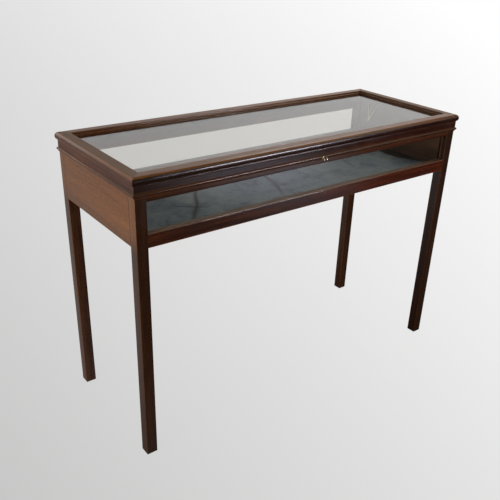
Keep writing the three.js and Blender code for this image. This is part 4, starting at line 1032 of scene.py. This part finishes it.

# Lining: a loose cloth laid on the base board. Its right edge is cut on a slant, and it keeps
# the seams and creases of long use: height = sum of high * fade * exp(-(distance to a line / wide)^2),
# where fade runs up from 0 at the line's ends to 1 as sin(pi / 2 * min(1, way from the end / fadeRun)).
# Each crease's shade is painted shade: a dark line along it that stands in for the fold's shadow.
liningBox = boxOf("lining")
lining = {
    "leftX": liningBox[0, 0], "endY": liningBox[1, 1], "low": liningBox[0, 2] + 0.08, "thick": 1.1,
    "notchX": fit - case["legX"], "notchY": case["legY"] + 0.2, "rows": 120, "columns": 300,
    "edgeY": (-205.7, -135.8, -69.9, 205.7), "edgeX": (569, 569, 530.7, 521.9), "edgeIn": 1.7,
    "fadeRun": 55,
    "creases": [
        {"line": ((24, 120), (-7, 20), (-23, -40), (-48, -110), (-62, -140)),
         "wide": 4.2, "high": 1.6, "shade": 1.0},
        {"line": ((-215, 130), (-267, 37), (-330, -65), (-387, -144), (-405, -168)),
         "wide": 4.2, "high": 1.5, "shade": 1.0},
        {"line": ((-405, -25), (-386, -40), (-334, -80), (-300, -100)),
         "wide": 3.4, "high": 1.2, "shade": 0.8},
        {"line": ((180, 150), (120, 20), (150, -120)), "wide": 2.6, "high": 1.1, "shade": 0.4},
        {"line": ((330, 190), (350, 40), (300, -90)), "wide": 2.6, "high": 1.3, "shade": 0.45},
        {"line": ((-150, -60), (-120, 90), (-160, 200)), "wide": 2.4, "high": 1.0, "shade": 0.35},
        {"line": ((-560, 120), (-420, 90), (-260, 140)), "wide": 2.4, "high": 1.0, "shade": 0.35},
        {"line": ((60, -160), (250, -150), (430, -175)), "wide": 2.2, "high": 0.9, "shade": 0.3},
    ],
}


# how far each point is from a line with corners, and how far along the line its nearest place
# lies from the nearer end
def awayFromLine(points, line):
    corners = np.array(line, float)
    steps = np.diff(corners, axis=0)
    lengths = np.linalg.norm(steps, axis=1)
    gaps, runs = [], []
    for start, step, length, before in zip(corners, steps, lengths, np.cumsum(lengths) - lengths):
        share = np.clip((points - start) @ step / length ** 2, 0, 1)
        gaps.append(np.linalg.norm(points - start - share[..., None] * step, axis=-1))
        runs.append(before + share * length)
    nearest = np.argmin(gaps, axis=0)[None]
    gap, run = (np.take_along_axis(np.array(rows), nearest, 0)[0] for rows in (gaps, runs))
    return gap, np.minimum(run, lengths.sum() - run)


# the cloth as loops from left to right over its top and back under it, row by row. Between the
# creases it ripples by 0.35 * (1 + a product of two slow waves), and its right edge curls up.
def liningShell(size=lining):
    notch = size["notchY"]
    y = np.linspace(-size["endY"], size["endY"], size["rows"])
    y = np.sort(np.concatenate([y, [-notch - 0.2, -notch, notch, notch + 0.2]]))
    left = np.where(abs(y) > notch + 0.1, size["notchX"], size["leftX"])
    ragged = 0.7 * np.sin(y / 7.3) + 0.5 * np.sin(y / 3.1 + 1) + 0.4 * np.sin(y / 17)
    right = np.interp(y, size["edgeY"], size["edgeX"]) - size["edgeIn"] + ragged
    x = left[:, None] + (right - left)[:, None] * np.linspace(0, 1, size["columns"])
    flat = np.stack([x, np.broadcast_to(y[:, None], x.shape)], -1)
    height, shade = np.zeros(x.shape), np.zeros(x.shape)
    for crease in size["creases"]:
        bend = 2 * np.sin(flat[..., 1] / 31 + flat[..., 0] / 57)
        gap, fromEnd = awayFromLine(flat + np.stack([bend, np.zeros(x.shape)], -1), crease["line"])
        fade = np.sin(math.pi / 2 * np.minimum(1, fromEnd / size["fadeRun"]))
        height += crease["high"] * fade * np.exp(-(gap / crease["wide"]) ** 2)
        # painted shade: the crease's shade darkens the cloth along the fold, standing in for its shadow
        shade = np.maximum(shade, crease["shade"] * fade * np.exp(-(gap / (1.5 * crease["wide"])) ** 2))
    ripple = np.sin(x / 61 + y[:, None] / 83) * np.sin(x / 97 - y[:, None] / 41 + 1.3)
    curl = 1.6 * np.exp(-((right[:, None] - x) / 9) ** 2) * (0.6 + 0.4 * np.sin(y / 23))[:, None]
    height += 0.35 * (1 + ripple) + curl
    top = np.concatenate([flat, (size["low"] + size["thick"] + height)[..., None]], -1)
    under = np.concatenate([flat, (size["low"] + height)[..., None]], -1)
    loops = np.concatenate([top, under[:, ::-1]], 1)
    area = np.sum((right - left + np.roll(right - left, -1))[:-1] / 2 * np.diff(y))
    return carried("clothLining", loops, wear=np.concatenate([shade, shade[:, ::-1]], 1)), area


shell, liningArea = liningShell()
liningPiece = placePiece(shell, "case", "baize", "lining", sharp=60, doubles=0.01)
say("lining")

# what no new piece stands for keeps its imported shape: panes, base board, pins, the inside of the lock
packedFinishes = {"base_board": "deal", "lock_bolt": "iron", "glass_front": "glass", "glass_back": "glass",
                  "lid_glass": "glass"}
for name, node in nodes.items():
    if not node.hide_render:
        finish = packedFinishes.get(name, "brass")
        node.data.materials.clear()
        node.data.materials.append(finishes[finish])
say("finishes on the packed pieces")
